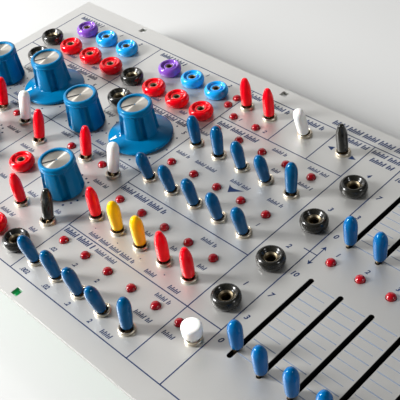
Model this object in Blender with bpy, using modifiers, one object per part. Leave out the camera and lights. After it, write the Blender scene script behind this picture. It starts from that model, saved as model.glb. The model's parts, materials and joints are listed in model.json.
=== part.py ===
"""Function generator panel module: switches, knobs, sliders and banana jacks on one plate.

The panel lies face up. X runs along its width and Y up its height, with the origin in the
middle of the footprint and z = 0 under the heads of the rear screws.
"""
import math

import bmesh
import bpy
from mathutils import Matrix, Vector

# Panel plate, a row of equal units wide
UNIT_WIDTH = 0.10795
UNIT_COUNT = 3
PANEL_HEIGHT = 0.1778
PANEL_THICKNESS = 0.0020
PANEL_WIDTH = UNIT_WIDTH * UNIT_COUNT
MOUNT_SLOT_WIDTH = 0.0036
MOUNT_SLOT_LENGTH = 0.0036
MOUNT_SLOT_EDGE = 0.0036

# Stack behind the panel, from the rear screws up
SCREW_HEAD_HEIGHT = 0.0022
SCREW_HEAD_RADIUS = 0.0029
SCREW_RADIUS = 0.0015
SCREW_ENGAGEMENT = 0.0060
BOARD_THICKNESS = 0.0016
BOARD_SPACING = 0.0150
PANEL_SPACING = 0.0080
CONTROL_BOARD_INSET = 0.0010
CONTROL_BOARD_EDGE = 0.0058
MAIN_BOARD_INSET = 0.0024
MAIN_BOARD_BOTTOM = 0.0210
MAIN_BOARD_TOP = 0.0062
SPACER_RADIUS = 0.0025
SPACER_BOTTOM = 0.0254
SPACER_TOP = 0.0096
SPACER_END = 0.0085

# Clearances
FIT_GAP = 0.0003
RUNNING_GAP = 0.0004
CUT_OVERRUN = 0.0020
MERGE_DISTANCE = 0.00001

# Toggle switches
TOGGLE_BODY_WIDTH = 0.0068
TOGGLE_BODY_LENGTH = 0.0122
TOGGLE_BUSHING_RADIUS = 0.0031
TOGGLE_BUSHING_HEIGHT = 0.0018
TOGGLE_BORE_RADIUS = 0.0026
TOGGLE_BORE_DEPTH = 0.0030
TOGGLE_NUT_RADIUS = 0.0038
TOGGLE_NUT_HEIGHT = 0.0023
TOGGLE_PIVOT_DEPTH = 0.0010
TOGGLE_LEVER_RADIUS = 0.0011
TOGGLE_LEVER_TAIL = 0.0012
TOGGLE_CAP_RADIUS = 0.0029
TOGGLE_CAP_TIP_RADIUS = 0.0014
TOGGLE_CAP_START = 0.0036
TOGGLE_CAP_SHOULDER = 0.0128
TOGGLE_TIP_HEIGHT = 0.0174

# Push button
BUTTON_RADIUS = 0.0042
BUTTON_CROWN_RADIUS = 0.0024
BUTTON_HEIGHT = 0.0092
BUTTON_SHOULDER = 0.0070
BUTTON_START = 0.0040
BUTTON_STEM_RADIUS = 0.0020
BUTTON_STEM_TAIL = 0.0030
BUTTON_BORE_DEPTH = 0.0058

# Banana jacks
JACK_RADIUS = 0.0063
JACK_HEIGHT = 0.0050
JACK_SHOULDER = 0.0038
JACK_TOP_RADIUS = 0.0050
JACK_BORE_RADIUS = 0.0021
JACK_BORE_DEPTH = 0.0090
JACK_NECK_RADIUS = 0.0038

# Indicator lamps
LAMP_RADIUS = 0.0024
LAMP_SHOULDER_RADIUS = 0.0018
LAMP_HEIGHT = 0.0026
LAMP_SHOULDER = 0.0016

# Rotary potentiometers and their knobs
POT_RADIUS = 0.0080
POT_BUSHING_RADIUS = 0.0047
POT_SHAFT_RADIUS = 0.0030
POT_BORE_DEPTH = 0.0070
POT_SHAFT_TAIL = 0.0050
KNOB_FOOT_GAP = 0.0006
KNOB_BASE_RADIUS = 0.0096
KNOB_TOP_RADIUS = 0.0084
KNOB_HEIGHT = 0.0183
KNOB_LIP_RADIUS = 0.0087
KNOB_LIP_HEIGHT = 0.0024
SKIRT_RADIUS = 0.0163
SKIRT_THICKNESS = 0.0034
SKIRT_RIM = 0.0014
SKIRTED_KNOB_HEIGHT = 0.0200
INLAY_RADIUS = 0.0066
INLAY_DEPTH = 0.0008
GROOVE_COUNT = 6
GROOVE_WIDTH = 0.0030
GROOVE_DEPTH = 0.0010
POINTER_WIDTH = 0.0007
POINTER_HEIGHT = 0.0003
POINTER_REACH = 0.0050
POINTER_ANGLE = -150

# Slide potentiometers and their caps
SLIDER_TRAVEL = 0.0450
SLIDER_LEVER_LENGTH = 0.0040
SLIDER_LEVER_WIDTH = 0.0012
SLIDER_SLOT_WIDTH = 0.0023
SLIDER_END_GAP = 0.0005
SLIDER_BODY_WIDTH = 0.0080
SLIDER_BODY_OVERHANG = 0.0050
SLIDER_TRACK_WIDTH = 0.0030
SLIDER_TRACK_DEPTH = 0.0060
SLIDER_LEVER_TAIL = 0.0050
SLIDER_CAP_BASE_RADIUS = 0.0032
SLIDER_CAP_TOP_RADIUS = 0.0022
SLIDER_CAP_START = 0.0020
SLIDER_CAP_HEIGHT = 0.0152

# Parts soldered on the rear board
CHIP_WIDTH = 0.0064
CHIP_LENGTH = 0.0198
CHIP_HEIGHT = 0.0034
CHIP_COLUMNS = 6
CHIP_ROWS = 4
HEADER_WIDTH = 0.0203
HEADER_LENGTH = 0.0090
HEADER_HEIGHT = 0.0088
HEADER_WALL = 0.0012
HEADER_DEPTH = 0.0064
HEADER_EDGE = 0.0004
HEADER_SHIFT = 0.0240

# Pitches of the chips, as shares of a unit's width and of the panel's height
CHIP_PITCH_SHARES = (0.4261, 0.1800)

# Counts of the layout
OUTPUT_SIDES = ("left", "right")
COLUMN_COUNT = 5
STAGE_COUNT = 5
STEP_LAMP_COUNT = 2

# Layout across the panel, as shares of a unit's width
OUTPUT_LEFT_SHARE = 0.0704
OUTPUT_PITCH_SHARE = 0.6484
PROGRAM_WIDTH_SHARE = 0.7031
INPUT_WIDTH_SHARE = 0.1732
STAGE_FIRST_SHARE = 0.1010
STAGE_PITCH_SHARE = 0.1362

# Programming section: shares of a unit's width from its left line, and of the panel's height
SWITCH_FIRST_SHARE = 0.0584
SWITCH_PITCH_SHARE = 0.1379
STEP_PROGRAM_SHARE = 0.4048
STEP_DISPLAY_SHARE = 0.6160
RANGE_ROW_SHARE = 0.1125
MODE_ROW_SHARE = 0.3071
SLOPE_ROW_SHARE = 0.4927
SOURCE_ROW_SHARE = 0.6676
STEP_ROW_SHARE = 0.8712
RANGE_LAMP_SHARE = 0.1991
SWITCH_LAMP_SHARES = (RANGE_LAMP_SHARE, 0.3858, 0.5720, 0.7458)
STEP_LAMP_SHARE = 0.8144

# Input column: shares of a unit's width from its left line, and of the panel's height
INPUT_JACK_SHARE = 0.0963
INPUT_ROW_SHARES = (0.3105, 0.4606, 0.6170, 0.7700)
BUTTON_SHARES = (0.1288, 0.1867)
BUTTON_LAMP_SHARE = 0.0343

# Slider section, as shares of the panel's height, and the lift of the first lower slider
LOWER_SLOT_TOP_SHARE = 0.4803
UPPER_SLOT_BOTTOM_SHARE = 0.6029
STAGE_LAMP_SHARE = 0.5439
FIRST_LOWER_LIFT = 0.0029

# Output section: shares of a unit's width from its left line, and of the panel's height
OUTPUT_JACK_PITCH_SHARE = 0.1621
OUTPUT_MAIN_SHARES = (0.0862, 0.7688)
OUTPUT_TOP_SHARES = (0.1945, 0.8650)
OUTPUT_BOTTOM_SHARES = (0.0797, 0.1175)
OUTPUT_SINGLE_JACK_SHARES = (0.1667, 0.6744)
OUTPUT_INPUT_JACK_SHARES = (0.1723, 0.3127)
OUTPUT_RANGE_KNOB_SHARES = (0.4539, 0.3240)
OUTPUT_LEVEL_KNOB_SHARES = (0.1667, 0.5472)
OUTPUT_DIAL_KNOB_SHARES = (0.4548, 0.5996)
OUTPUT_LAMP_SHARES = ((0.2483, 0.4488), (0.4687, 0.4488))
END_LAMP_SHARE = 0.0259
END_LAMP_ROW_SHARES = (0.8465, 0.8841)

# Switches of the output section: width share, height share, lever tilt and cap colour
OUTPUT_TOGGLE_SHARES = ((0.0862, 0.4094, 13, "red"), (0.3668, 0.4421, 12, "red"),
                        (0.5595, 0.4404, 12, "white"), (0.3724, 0.2188, 0, "red"),
                        (0.5604, 0.2171, 12, "black"))

# Lever tilts towards the panel's top edge, in degrees
RANGE_TILTS = (-10, -8, -9, -11, 5)
MODE_TILTS = (0, 0, 0, 0, 0)
SLOPE_TILTS = (-11, -11, -11, -11, -11)
SOURCE_TILTS = (-3, 0, -9, -12, 4)
STEP_TILTS = (0, 0, -13, -4)

# Sides of the round pieces, and the angle above which an edge stays sharp
KNOB_SIDES = 16
PLAIN_SIDES = 8
SHARP_ANGLE = 40

# Finishes: colour as linear RGB, roughness and metallic value
FINISHES = {
    "plate": ((0.48, 0.47, 0.45), 0.40, 0.6),
    "nickel": ((0.62, 0.57, 0.50), 0.25, 1.0),
    "steel": ((0.50, 0.50, 0.50), 0.40, 1.0),
    "red": ((0.68, 0.008, 0.02), 0.25, 0.0),
    "yellow": ((0.90, 0.42, 0.01), 0.25, 0.0),
    "white": ((0.80, 0.76, 0.70), 0.30, 0.0),
    "black": ((0.02, 0.02, 0.018), 0.30, 0.0),
    "blue": ((0.006, 0.08, 0.28), 0.25, 0.0),
    "knob blue": ((0.005, 0.15, 0.43), 0.30, 0.0),
    "slider blue": ((0.01, 0.16, 0.45), 0.30, 0.0),
    "light blue": ((0.05, 0.38, 0.78), 0.30, 0.0),
    "purple": ((0.25, 0.10, 0.48), 0.30, 0.0),
    "lamp red": ((0.26, 0.005, 0.01), 0.15, 0.0),
    "board green": ((0.005, 0.25, 0.07), 0.35, 0.0),
}

# Heights of the stack, worked out from the sizes above
MAIN_BOTTOM = SCREW_HEAD_HEIGHT + FIT_GAP
MAIN_TOP = MAIN_BOTTOM + BOARD_THICKNESS
CONTROL_BOTTOM = MAIN_TOP + BOARD_SPACING
CONTROL_TOP = CONTROL_BOTTOM + BOARD_THICKNESS
PANEL_BOTTOM = CONTROL_TOP + PANEL_SPACING
PANEL_TOP = PANEL_BOTTOM + PANEL_THICKNESS
PANEL_MIDDLE = PANEL_BOTTOM + PANEL_THICKNESS / 2
CONTROL_MIDDLE = CONTROL_BOTTOM + BOARD_THICKNESS / 2
MAIN_MIDDLE = MAIN_BOTTOM + BOARD_THICKNESS / 2
SEAT_BOTTOM = CONTROL_TOP + FIT_GAP
SEAT_TOP = PANEL_BOTTOM - FIT_GAP

# Places along the width, worked out from the layout
PROGRAM_LEFT = UNIT_WIDTH * (OUTPUT_LEFT_SHARE + OUTPUT_PITCH_SHARE * len(OUTPUT_SIDES))
INPUT_LEFT = PROGRAM_LEFT + UNIT_WIDTH * PROGRAM_WIDTH_SHARE
STAGE_LEFT = INPUT_LEFT + UNIT_WIDTH * INPUT_WIDTH_SHARE
SLOT_LENGTH = SLIDER_TRAVEL + SLIDER_LEVER_LENGTH + 2 * SLIDER_END_GAP
SLOT_BOTTOMS = {"lower": PANEL_HEIGHT * LOWER_SLOT_TOP_SHARE - SLOT_LENGTH,
                "upper": PANEL_HEIGHT * UPPER_SLOT_BOTTOM_SHARE}


def at(x, y, z=0.0):
    """Turn a place measured from the panel's lower left corner into model space."""
    return Vector((x - PANEL_WIDTH / 2, y - PANEL_HEIGHT / 2, z))


def clear_scene():
    """Remove everything that the file holds at the start."""
    for item in list(bpy.data.objects):
        bpy.data.objects.remove(item, do_unlink=True)


def new_collection(name):
    """Add a collection to the scene."""
    group = bpy.data.collections.new(name)
    bpy.context.scene.collection.children.link(group)
    return group


def make_finish(name):
    """Make the material of one named finish."""
    colour, roughness, metallic = FINISHES[name]
    finish = bpy.data.materials.new(name)
    finish.use_nodes = True
    shader = finish.node_tree.nodes["Principled BSDF"]
    shader.inputs["Base Color"].default_value = (*colour, 1.0)
    shader.inputs["Roughness"].default_value = roughness
    shader.inputs["Metallic"].default_value = metallic
    return finish


def evaluated_mesh(item):
    """Read an object's mesh with its modifiers applied, and remove the object."""
    bpy.context.view_layer.update()
    graph = bpy.context.evaluated_depsgraph_get()
    mesh = bpy.data.meshes.new_from_object(item.evaluated_get(graph))
    bpy.data.objects.remove(item, do_unlink=True)
    return mesh


def turned(finish, profile, sides=PLAIN_SIDES):
    """Turn radius and height pairs about the Z axis, given top to bottom on the outside."""
    mesh = bpy.data.meshes.new(finish)
    mesh.materials.append(finishes[finish])
    blank = bpy.data.objects.new(finish, mesh)
    cutters.objects.link(blank)
    draft = bmesh.new()
    points = [draft.verts.new((radius, 0.0, height)) for radius, height in profile]
    for first, second in zip(points, points[1:]):
        draft.edges.new((first, second))
    draft.to_mesh(mesh)
    draft.free()
    screw = blank.modifiers.new("turn", "SCREW")
    screw.steps = sides
    screw.render_steps = sides
    screw.use_merge_vertices = True
    screw.merge_threshold = MERGE_DISTANCE
    return evaluated_mesh(blank)


def box(finish, width, length, low, high):
    """Make a box centred on the Z axis between two heights."""
    mesh = bpy.data.meshes.new(finish)
    mesh.materials.append(finishes[finish])
    draft = bmesh.new()
    size = Matrix.Diagonal((width, length, high - low, 1.0))
    bmesh.ops.create_cube(draft, size=1.0, matrix=Matrix.Translation((0, 0, (low + high) / 2)) @ size)
    draft.to_mesh(mesh)
    draft.free()
    return mesh


def prism(finish, radius, low, high, top_radius=None, sides=PLAIN_SIDES):
    """Make an upright prism or frustum centred on the Z axis between two heights."""
    mesh = bpy.data.meshes.new(finish)
    mesh.materials.append(finishes[finish])
    draft = bmesh.new()
    bmesh.ops.create_cone(draft, cap_ends=True, segments=sides, radius1=radius,
                          radius2=top_radius or radius, depth=high - low,
                          matrix=Matrix.Translation((0, 0, (low + high) / 2)))
    draft.to_mesh(mesh)
    draft.free()
    return mesh


def joined(copies):
    """Join meshes, each with its own matrix, into one mesh that keeps their finishes."""
    result = bpy.data.meshes.new("joined")
    draft = bmesh.new()
    slots = []
    for mesh, matrix in copies:
        piece = mesh.copy()
        piece.transform(matrix)
        first_face = len(draft.faces)
        draft.from_mesh(piece)
        draft.faces.ensure_lookup_table()
        for face in draft.faces[first_face:]:
            finish = piece.materials[face.material_index]
            if finish not in slots:
                slots.append(finish)
            face.material_index = slots.index(finish)
        bpy.data.meshes.remove(piece)
    draft.to_mesh(result)
    draft.free()
    for finish in slots:
        result.materials.append(finish)
    return result


def combined(mesh, other, operation):
    """Join a mesh with another, or cut it with the other, by a Boolean."""
    blank = bpy.data.objects.new("blank", mesh)
    cutter = bpy.data.objects.new("cutter", other)
    for item in (blank, cutter):
        cutters.objects.link(item)
    cutter.hide_render = True
    cutter.display_type = "WIRE"
    change = blank.modifiers.new("change", "BOOLEAN")
    change.operation = operation
    change.solver = "EXACT"
    change.material_mode = "TRANSFER"
    change.object = cutter
    result = evaluated_mesh(blank)
    bpy.data.objects.remove(cutter, do_unlink=True)
    return result


def placed(mesh, places):
    """Pair a mesh with the matrix of each place on the panel."""
    return [(mesh, Matrix.Translation(at(*place))) for place in places]


def add_node(name, mesh, location=(0, 0, 0), rotation=(0, 0, 0)):
    """Add one named sub-part."""
    item = bpy.data.objects.new(name, mesh)
    item.location = location
    item.rotation_euler = rotation
    mesh.shade_smooth()
    mesh.set_sharp_from_angle(angle=math.radians(SHARP_ANGLE))
    parts.objects.link(item)
    return item


def across(share):
    """Turn a share of a unit's width into a length."""
    return UNIT_WIDTH * share


def up(share):
    """Turn a share of the panel's height into a length."""
    return PANEL_HEIGHT * share


def column_x(index):
    """Give a programming column's place along the width."""
    return PROGRAM_LEFT + across(SWITCH_FIRST_SHARE + SWITCH_PITCH_SHARE * index)


def stage_x(index):
    """Give a slider stage's place along the width."""
    return STAGE_LEFT + across(STAGE_FIRST_SHARE + STAGE_PITCH_SHARE * index)


def output_spot(section, width_share, height_share):
    """Give a place in an output section from its two shares."""
    return (across(OUTPUT_LEFT_SHARE + OUTPUT_PITCH_SHARE * section + width_share), up(height_share))


def toggle_list():
    """List every toggle switch: name, place, lever tilt and cap colour."""
    rows = (("range_toggle", RANGE_ROW_SHARE, RANGE_TILTS, ("blue",) * COLUMN_COUNT),
            ("mode_toggle", MODE_ROW_SHARE, MODE_TILTS, ("red", "yellow", "yellow", "red", "red")),
            ("slope_toggle", SLOPE_ROW_SHARE, SLOPE_TILTS, ("blue",) * COLUMN_COUNT),
            ("source_toggle", SOURCE_ROW_SHARE, SOURCE_TILTS, ("blue",) * COLUMN_COUNT))
    toggles = []
    for name, row_share, tilts, colours in rows:
        for index, (tilt, colour) in enumerate(zip(tilts, colours)):
            toggles.append((f"{name}_{index + 1}", (column_x(index), up(row_share)), tilt, colour))
    columns = (column_x(0), column_x(1), PROGRAM_LEFT + across(STEP_PROGRAM_SHARE),
               PROGRAM_LEFT + across(STEP_DISPLAY_SHARE))
    for index, (x, tilt, colour) in enumerate(zip(columns, STEP_TILTS, ("red", "red", "white", "black"))):
        toggles.append((f"step_toggle_{index + 1}", (x, up(STEP_ROW_SHARE)), tilt, colour))
    for section, side in enumerate(OUTPUT_SIDES):
        for index, (width_share, height_share, tilt, colour) in enumerate(OUTPUT_TOGGLE_SHARES):
            place = output_spot(section, width_share, height_share)
            toggles.append((f"{side}_output_toggle_{index + 1}", place, tilt, colour))
    return toggles


def jack_places():
    """List the banana jacks' places by colour."""
    jacks = {"red": [], "black": [], "light blue": [], "purple": []}
    input_x = INPUT_LEFT + across(INPUT_JACK_SHARE)
    jacks["black"] += [(input_x, up(row_share)) for row_share in INPUT_ROW_SHARES]
    rows = ((OUTPUT_MAIN_SHARES, ("black", "red", "red", "red")),
            (OUTPUT_TOP_SHARES, ("purple", "light blue", "light blue")),
            (OUTPUT_BOTTOM_SHARES, ("black", "red", "red", "black")))
    for section in range(len(OUTPUT_SIDES)):
        for (first_share, row_share), colours in rows:
            for index, colour in enumerate(colours):
                width_share = first_share + OUTPUT_JACK_PITCH_SHARE * index
                jacks[colour].append(output_spot(section, width_share, row_share))
        jacks["black"].append(output_spot(section, *OUTPUT_SINGLE_JACK_SHARES))
        jacks["red"].append(output_spot(section, *OUTPUT_INPUT_JACK_SHARES))
    return jacks


def lamp_places():
    """List the indicator lamps' places."""
    lamps = [(column_x(index), up(row_share))
             for row_share in SWITCH_LAMP_SHARES for index in range(COLUMN_COUNT)]
    lamps += [(column_x(index), up(STEP_LAMP_SHARE)) for index in range(STEP_LAMP_COUNT)]
    lamps.append((INPUT_LEFT + across(BUTTON_LAMP_SHARE), up(RANGE_LAMP_SHARE)))
    lamps += [(stage_x(index), up(STAGE_LAMP_SHARE)) for index in range(STAGE_COUNT)]
    lamps += [(PROGRAM_LEFT - across(END_LAMP_SHARE), up(row_share)) for row_share in END_LAMP_ROW_SHARES]
    for section in range(len(OUTPUT_SIDES)):
        lamps += [output_spot(section, *shares) for shares in OUTPUT_LAMP_SHARES]
    return lamps


def knob_list():
    """List the knobs: name, place, and whether it has a skirt."""
    kinds = (("range_knob", OUTPUT_RANGE_KNOB_SHARES, False), ("level_knob", OUTPUT_LEVEL_KNOB_SHARES, False),
             ("dial_knob", OUTPUT_DIAL_KNOB_SHARES, True))
    return [(f"{side}_{name}", output_spot(section, *shares), skirted)
            for section, side in enumerate(OUTPUT_SIDES) for name, shares, skirted in kinds]


def slider_list():
    """List the sliders: name, place along the width, row and rest lift from the slot's lower stop."""
    sliders = []
    for row in SLOT_BOTTOMS:
        for index in range(STAGE_COUNT):
            lift = FIRST_LOWER_LIFT if (row, index) == ("lower", 0) else 0.0
            sliders.append((f"{row}_slider_{index + 1}", stage_x(index), row, lift))
    return sliders


def switch_places():
    """List the bushings that take a lever or the button's stem."""
    return [place for _, place, _, _ in toggle_list()] + [button_place()]


def button_place():
    """Give the push button's place."""
    width_share, height_share = BUTTON_SHARES
    return (INPUT_LEFT + across(width_share), up(height_share))


def slot_places():
    """List the middles of the slider slots."""
    return [(stage_x(index), bottom + SLOT_LENGTH / 2)
            for bottom in SLOT_BOTTOMS.values() for index in range(STAGE_COUNT)]


def spacer_places():
    """List the places of the spacers and standoffs, clear of the switches and the slider cases."""
    between_switches = (column_x(0) + column_x(1)) / 2
    between_sliders = (stage_x(STAGE_COUNT - 2) + stage_x(STAGE_COUNT - 1)) / 2
    return [(x, y) for x in (SPACER_END, between_switches, between_sliders)
            for y in (SPACER_BOTTOM, PANEL_HEIGHT - SPACER_TOP)]


def build_panel():
    """Build the plate with its switch nuts, banana jacks and threaded spacers, and cut its holes."""
    nut = prism("nickel", TOGGLE_NUT_RADIUS, PANEL_MIDDLE, PANEL_TOP + TOGGLE_NUT_HEIGHT)
    spacer = prism("nickel", SPACER_RADIUS, SEAT_BOTTOM, PANEL_MIDDLE)
    fittings = placed(nut, switch_places()) + placed(spacer, spacer_places())
    jacks = jack_places()
    for colour, places in jacks.items():
        jack = turned(colour, [(0.0, PANEL_TOP + JACK_HEIGHT), (JACK_TOP_RADIUS, PANEL_TOP + JACK_HEIGHT),
                               (JACK_RADIUS, PANEL_TOP + JACK_SHOULDER), (JACK_RADIUS, PANEL_MIDDLE),
                               (JACK_NECK_RADIUS, PANEL_MIDDLE), (JACK_NECK_RADIUS, SEAT_BOTTOM),
                               (0.0, SEAT_BOTTOM)])
        fittings += placed(jack, places)
    plate = box("plate", PANEL_WIDTH, PANEL_HEIGHT, PANEL_BOTTOM, PANEL_TOP)
    solid = combined(plate, joined(fittings), "UNION")

    low, high = PANEL_BOTTOM - CUT_OVERRUN, PANEL_TOP + JACK_HEIGHT + CUT_OVERRUN
    switch_hole = prism("nickel", TOGGLE_BUSHING_RADIUS + RUNNING_GAP, low, high)
    lamp_hole = prism("plate", LAMP_RADIUS + RUNNING_GAP, low, high)
    pot_hole = prism("plate", POT_BUSHING_RADIUS + RUNNING_GAP, low, high)
    slot = box("plate", SLIDER_SLOT_WIDTH, SLOT_LENGTH, low, high)
    mount = box("plate", MOUNT_SLOT_WIDTH, MOUNT_SLOT_LENGTH, low, high)
    jack_bore = prism("nickel", JACK_BORE_RADIUS, PANEL_TOP - JACK_BORE_DEPTH, high)
    thread = prism("nickel", SCREW_RADIUS + RUNNING_GAP, SEAT_BOTTOM - CUT_OVERRUN,
                   CONTROL_TOP + SCREW_ENGAGEMENT + FIT_GAP)
    mounts = [(UNIT_WIDTH * (index + 1 / 2), y) for index in range(UNIT_COUNT)
              for y in (MOUNT_SLOT_EDGE, PANEL_HEIGHT - MOUNT_SLOT_EDGE)]
    holes = placed(switch_hole, switch_places()) + placed(lamp_hole, lamp_places())
    holes += placed(pot_hole, [place for _, place, _ in knob_list()])
    holes += placed(slot, slot_places()) + placed(mount, mounts) + placed(thread, spacer_places())
    for places in jacks.values():
        holes += placed(jack_bore, places)
    add_node("front_panel", combined(solid, joined(holes), "DIFFERENCE"))


def build_control_board():
    """Build the board behind the panel with the switches, lamps and potentiometers soldered to it."""
    bushing_top = PANEL_TOP + TOGGLE_BUSHING_HEIGHT
    body = box("steel", TOGGLE_BODY_WIDTH, TOGGLE_BODY_LENGTH, CONTROL_MIDDLE, SEAT_TOP)
    bushing = prism("nickel", TOGGLE_BUSHING_RADIUS, CONTROL_MIDDLE, bushing_top)
    lamp = turned("lamp red", [(0.0, PANEL_TOP + LAMP_HEIGHT),
                               (LAMP_SHOULDER_RADIUS, PANEL_TOP + LAMP_SHOULDER),
                               (LAMP_RADIUS, PANEL_TOP), (LAMP_RADIUS, CONTROL_MIDDLE),
                               (0.0, CONTROL_MIDDLE)])
    pot = turned("steel", [(0.0, PANEL_TOP), (POT_BUSHING_RADIUS, PANEL_TOP),
                           (POT_BUSHING_RADIUS, SEAT_TOP), (POT_RADIUS, SEAT_TOP),
                           (POT_RADIUS, CONTROL_MIDDLE), (0.0, CONTROL_MIDDLE)])
    case_length = SLOT_LENGTH + 2 * SLIDER_BODY_OVERHANG
    case = box("steel", SLIDER_BODY_WIDTH, case_length, CONTROL_MIDDLE, SEAT_TOP)
    knobs = [place for _, place, _ in knob_list()]
    bodies = placed(body, switch_places()) + placed(lamp, lamp_places()) + placed(pot, knobs)
    bodies += placed(case, slot_places())
    board = box("board green", PANEL_WIDTH - 2 * CONTROL_BOARD_INSET, PANEL_HEIGHT - 2 * CONTROL_BOARD_EDGE,
                CONTROL_BOTTOM, CONTROL_TOP)
    solid = combined(board, joined(bodies), "UNION")
    solid = combined(solid, joined(placed(bushing, switch_places())), "UNION")

    high = bushing_top + CUT_OVERRUN
    bore = prism("nickel", TOGGLE_BORE_RADIUS, PANEL_TOP - TOGGLE_BORE_DEPTH, high)
    button_bore = prism("nickel", TOGGLE_BORE_RADIUS, PANEL_TOP - BUTTON_BORE_DEPTH, high)
    shaft_bore = prism("steel", POT_SHAFT_RADIUS + RUNNING_GAP, PANEL_BOTTOM - POT_BORE_DEPTH,
                       PANEL_TOP + CUT_OVERRUN)
    track = box("steel", SLIDER_TRACK_WIDTH, SLOT_LENGTH, SEAT_TOP - SLIDER_TRACK_DEPTH,
                SEAT_TOP + CUT_OVERRUN)
    screw_hole = prism("nickel", SCREW_RADIUS + RUNNING_GAP, MAIN_TOP, CONTROL_TOP + CUT_OVERRUN)
    bores = placed(bore, [place for _, place, _, _ in toggle_list()]) + placed(button_bore, [button_place()])
    bores += placed(shaft_bore, knobs) + placed(track, slot_places()) + placed(screw_hole, spacer_places())
    add_node("control_board", combined(solid, joined(bores), "DIFFERENCE"))


def build_main_board():
    """Build the rear board with its chips and edge header."""
    board = box("board green", PANEL_WIDTH - 2 * MAIN_BOARD_INSET,
                PANEL_HEIGHT - MAIN_BOARD_BOTTOM - MAIN_BOARD_TOP, MAIN_BOTTOM, MAIN_TOP)
    middle = (PANEL_HEIGHT + MAIN_BOARD_BOTTOM - MAIN_BOARD_TOP) / 2
    chip = box("black", CHIP_WIDTH, CHIP_LENGTH, MAIN_MIDDLE, MAIN_TOP + CHIP_HEIGHT)
    header = box("black", HEADER_WIDTH, HEADER_LENGTH, MAIN_MIDDLE, MAIN_TOP + HEADER_HEIGHT)
    socket = box("black", HEADER_WIDTH - 2 * HEADER_WALL, 2 * HEADER_DEPTH,
                 MAIN_TOP + HEADER_WALL, MAIN_TOP + HEADER_HEIGHT - HEADER_WALL)
    pitch_x, pitch_y = across(CHIP_PITCH_SHARES[0]), up(CHIP_PITCH_SHARES[1])
    chips = [(PANEL_WIDTH / 2 + pitch_x * (column - (CHIP_COLUMNS - 1) / 2),
              middle + pitch_y * (row - (CHIP_ROWS - 1) / 2))
             for column in range(CHIP_COLUMNS) for row in range(CHIP_ROWS)]
    header_x, header_mouth = PANEL_WIDTH / 2 - HEADER_SHIFT, MAIN_BOARD_BOTTOM + HEADER_EDGE
    fittings = placed(chip, chips) + placed(header, [(header_x, header_mouth + HEADER_LENGTH / 2)])
    raised = [(board, Matrix.Translation(at(PANEL_WIDTH / 2, middle)))]
    solid = combined(joined(raised), joined(fittings), "UNION")
    hole = prism("board green", SCREW_RADIUS + RUNNING_GAP, MAIN_BOTTOM - CUT_OVERRUN, MAIN_TOP + CUT_OVERRUN)
    cuts = placed(hole, spacer_places()) + placed(socket, [(header_x, header_mouth)])
    add_node("main_board", combined(solid, joined(cuts), "DIFFERENCE"))


def build_standoffs():
    """Build the standoffs between the boards, each with its stud above and its screw below."""
    stud_top = CONTROL_TOP + SCREW_ENGAGEMENT
    high, low = CONTROL_BOTTOM - FIT_GAP, MAIN_TOP + FIT_GAP
    standoff = turned("nickel", [(0.0, stud_top), (SCREW_RADIUS, stud_top), (SCREW_RADIUS, high),
                                 (SPACER_RADIUS, high), (SPACER_RADIUS, low), (SCREW_RADIUS, low),
                                 (SCREW_RADIUS, SCREW_HEAD_HEIGHT), (SCREW_HEAD_RADIUS, SCREW_HEAD_HEIGHT),
                                 (SCREW_HEAD_RADIUS, 0.0), (0.0, 0.0)])
    for index, place in enumerate(spacer_places()):
        add_node(f"board_standoff_{index + 1}", standoff, at(*place))


def build_levers():
    """Build the capped switch levers, each with its origin on its pivot."""
    lift = TOGGLE_PIVOT_DEPTH
    profile = [(0.0, TOGGLE_TIP_HEIGHT + lift), (TOGGLE_CAP_TIP_RADIUS, TOGGLE_TIP_HEIGHT + lift),
               (TOGGLE_CAP_RADIUS, TOGGLE_CAP_SHOULDER + lift), (TOGGLE_CAP_RADIUS, TOGGLE_CAP_START + lift),
               (TOGGLE_LEVER_RADIUS, TOGGLE_CAP_START + lift), (TOGGLE_LEVER_RADIUS, -TOGGLE_LEVER_TAIL),
               (0.0, -TOGGLE_LEVER_TAIL)]
    levers = {colour: turned(colour, profile) for _, _, _, colour in toggle_list()}
    for name, place, tilt, colour in toggle_list():
        add_node(name, levers[colour], at(*place, PANEL_TOP - lift), (-math.radians(tilt), 0, 0))


def build_button():
    """Build the push button's cap and stem."""
    button = turned("white", [(0.0, BUTTON_HEIGHT), (BUTTON_CROWN_RADIUS, BUTTON_HEIGHT),
                              (BUTTON_RADIUS, BUTTON_SHOULDER), (BUTTON_RADIUS, BUTTON_START),
                              (BUTTON_STEM_RADIUS, BUTTON_START), (BUTTON_STEM_RADIUS, -BUTTON_STEM_TAIL),
                              (0.0, -BUTTON_STEM_TAIL)])
    add_node("push_button", button, at(*button_place(), PANEL_TOP))


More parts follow.
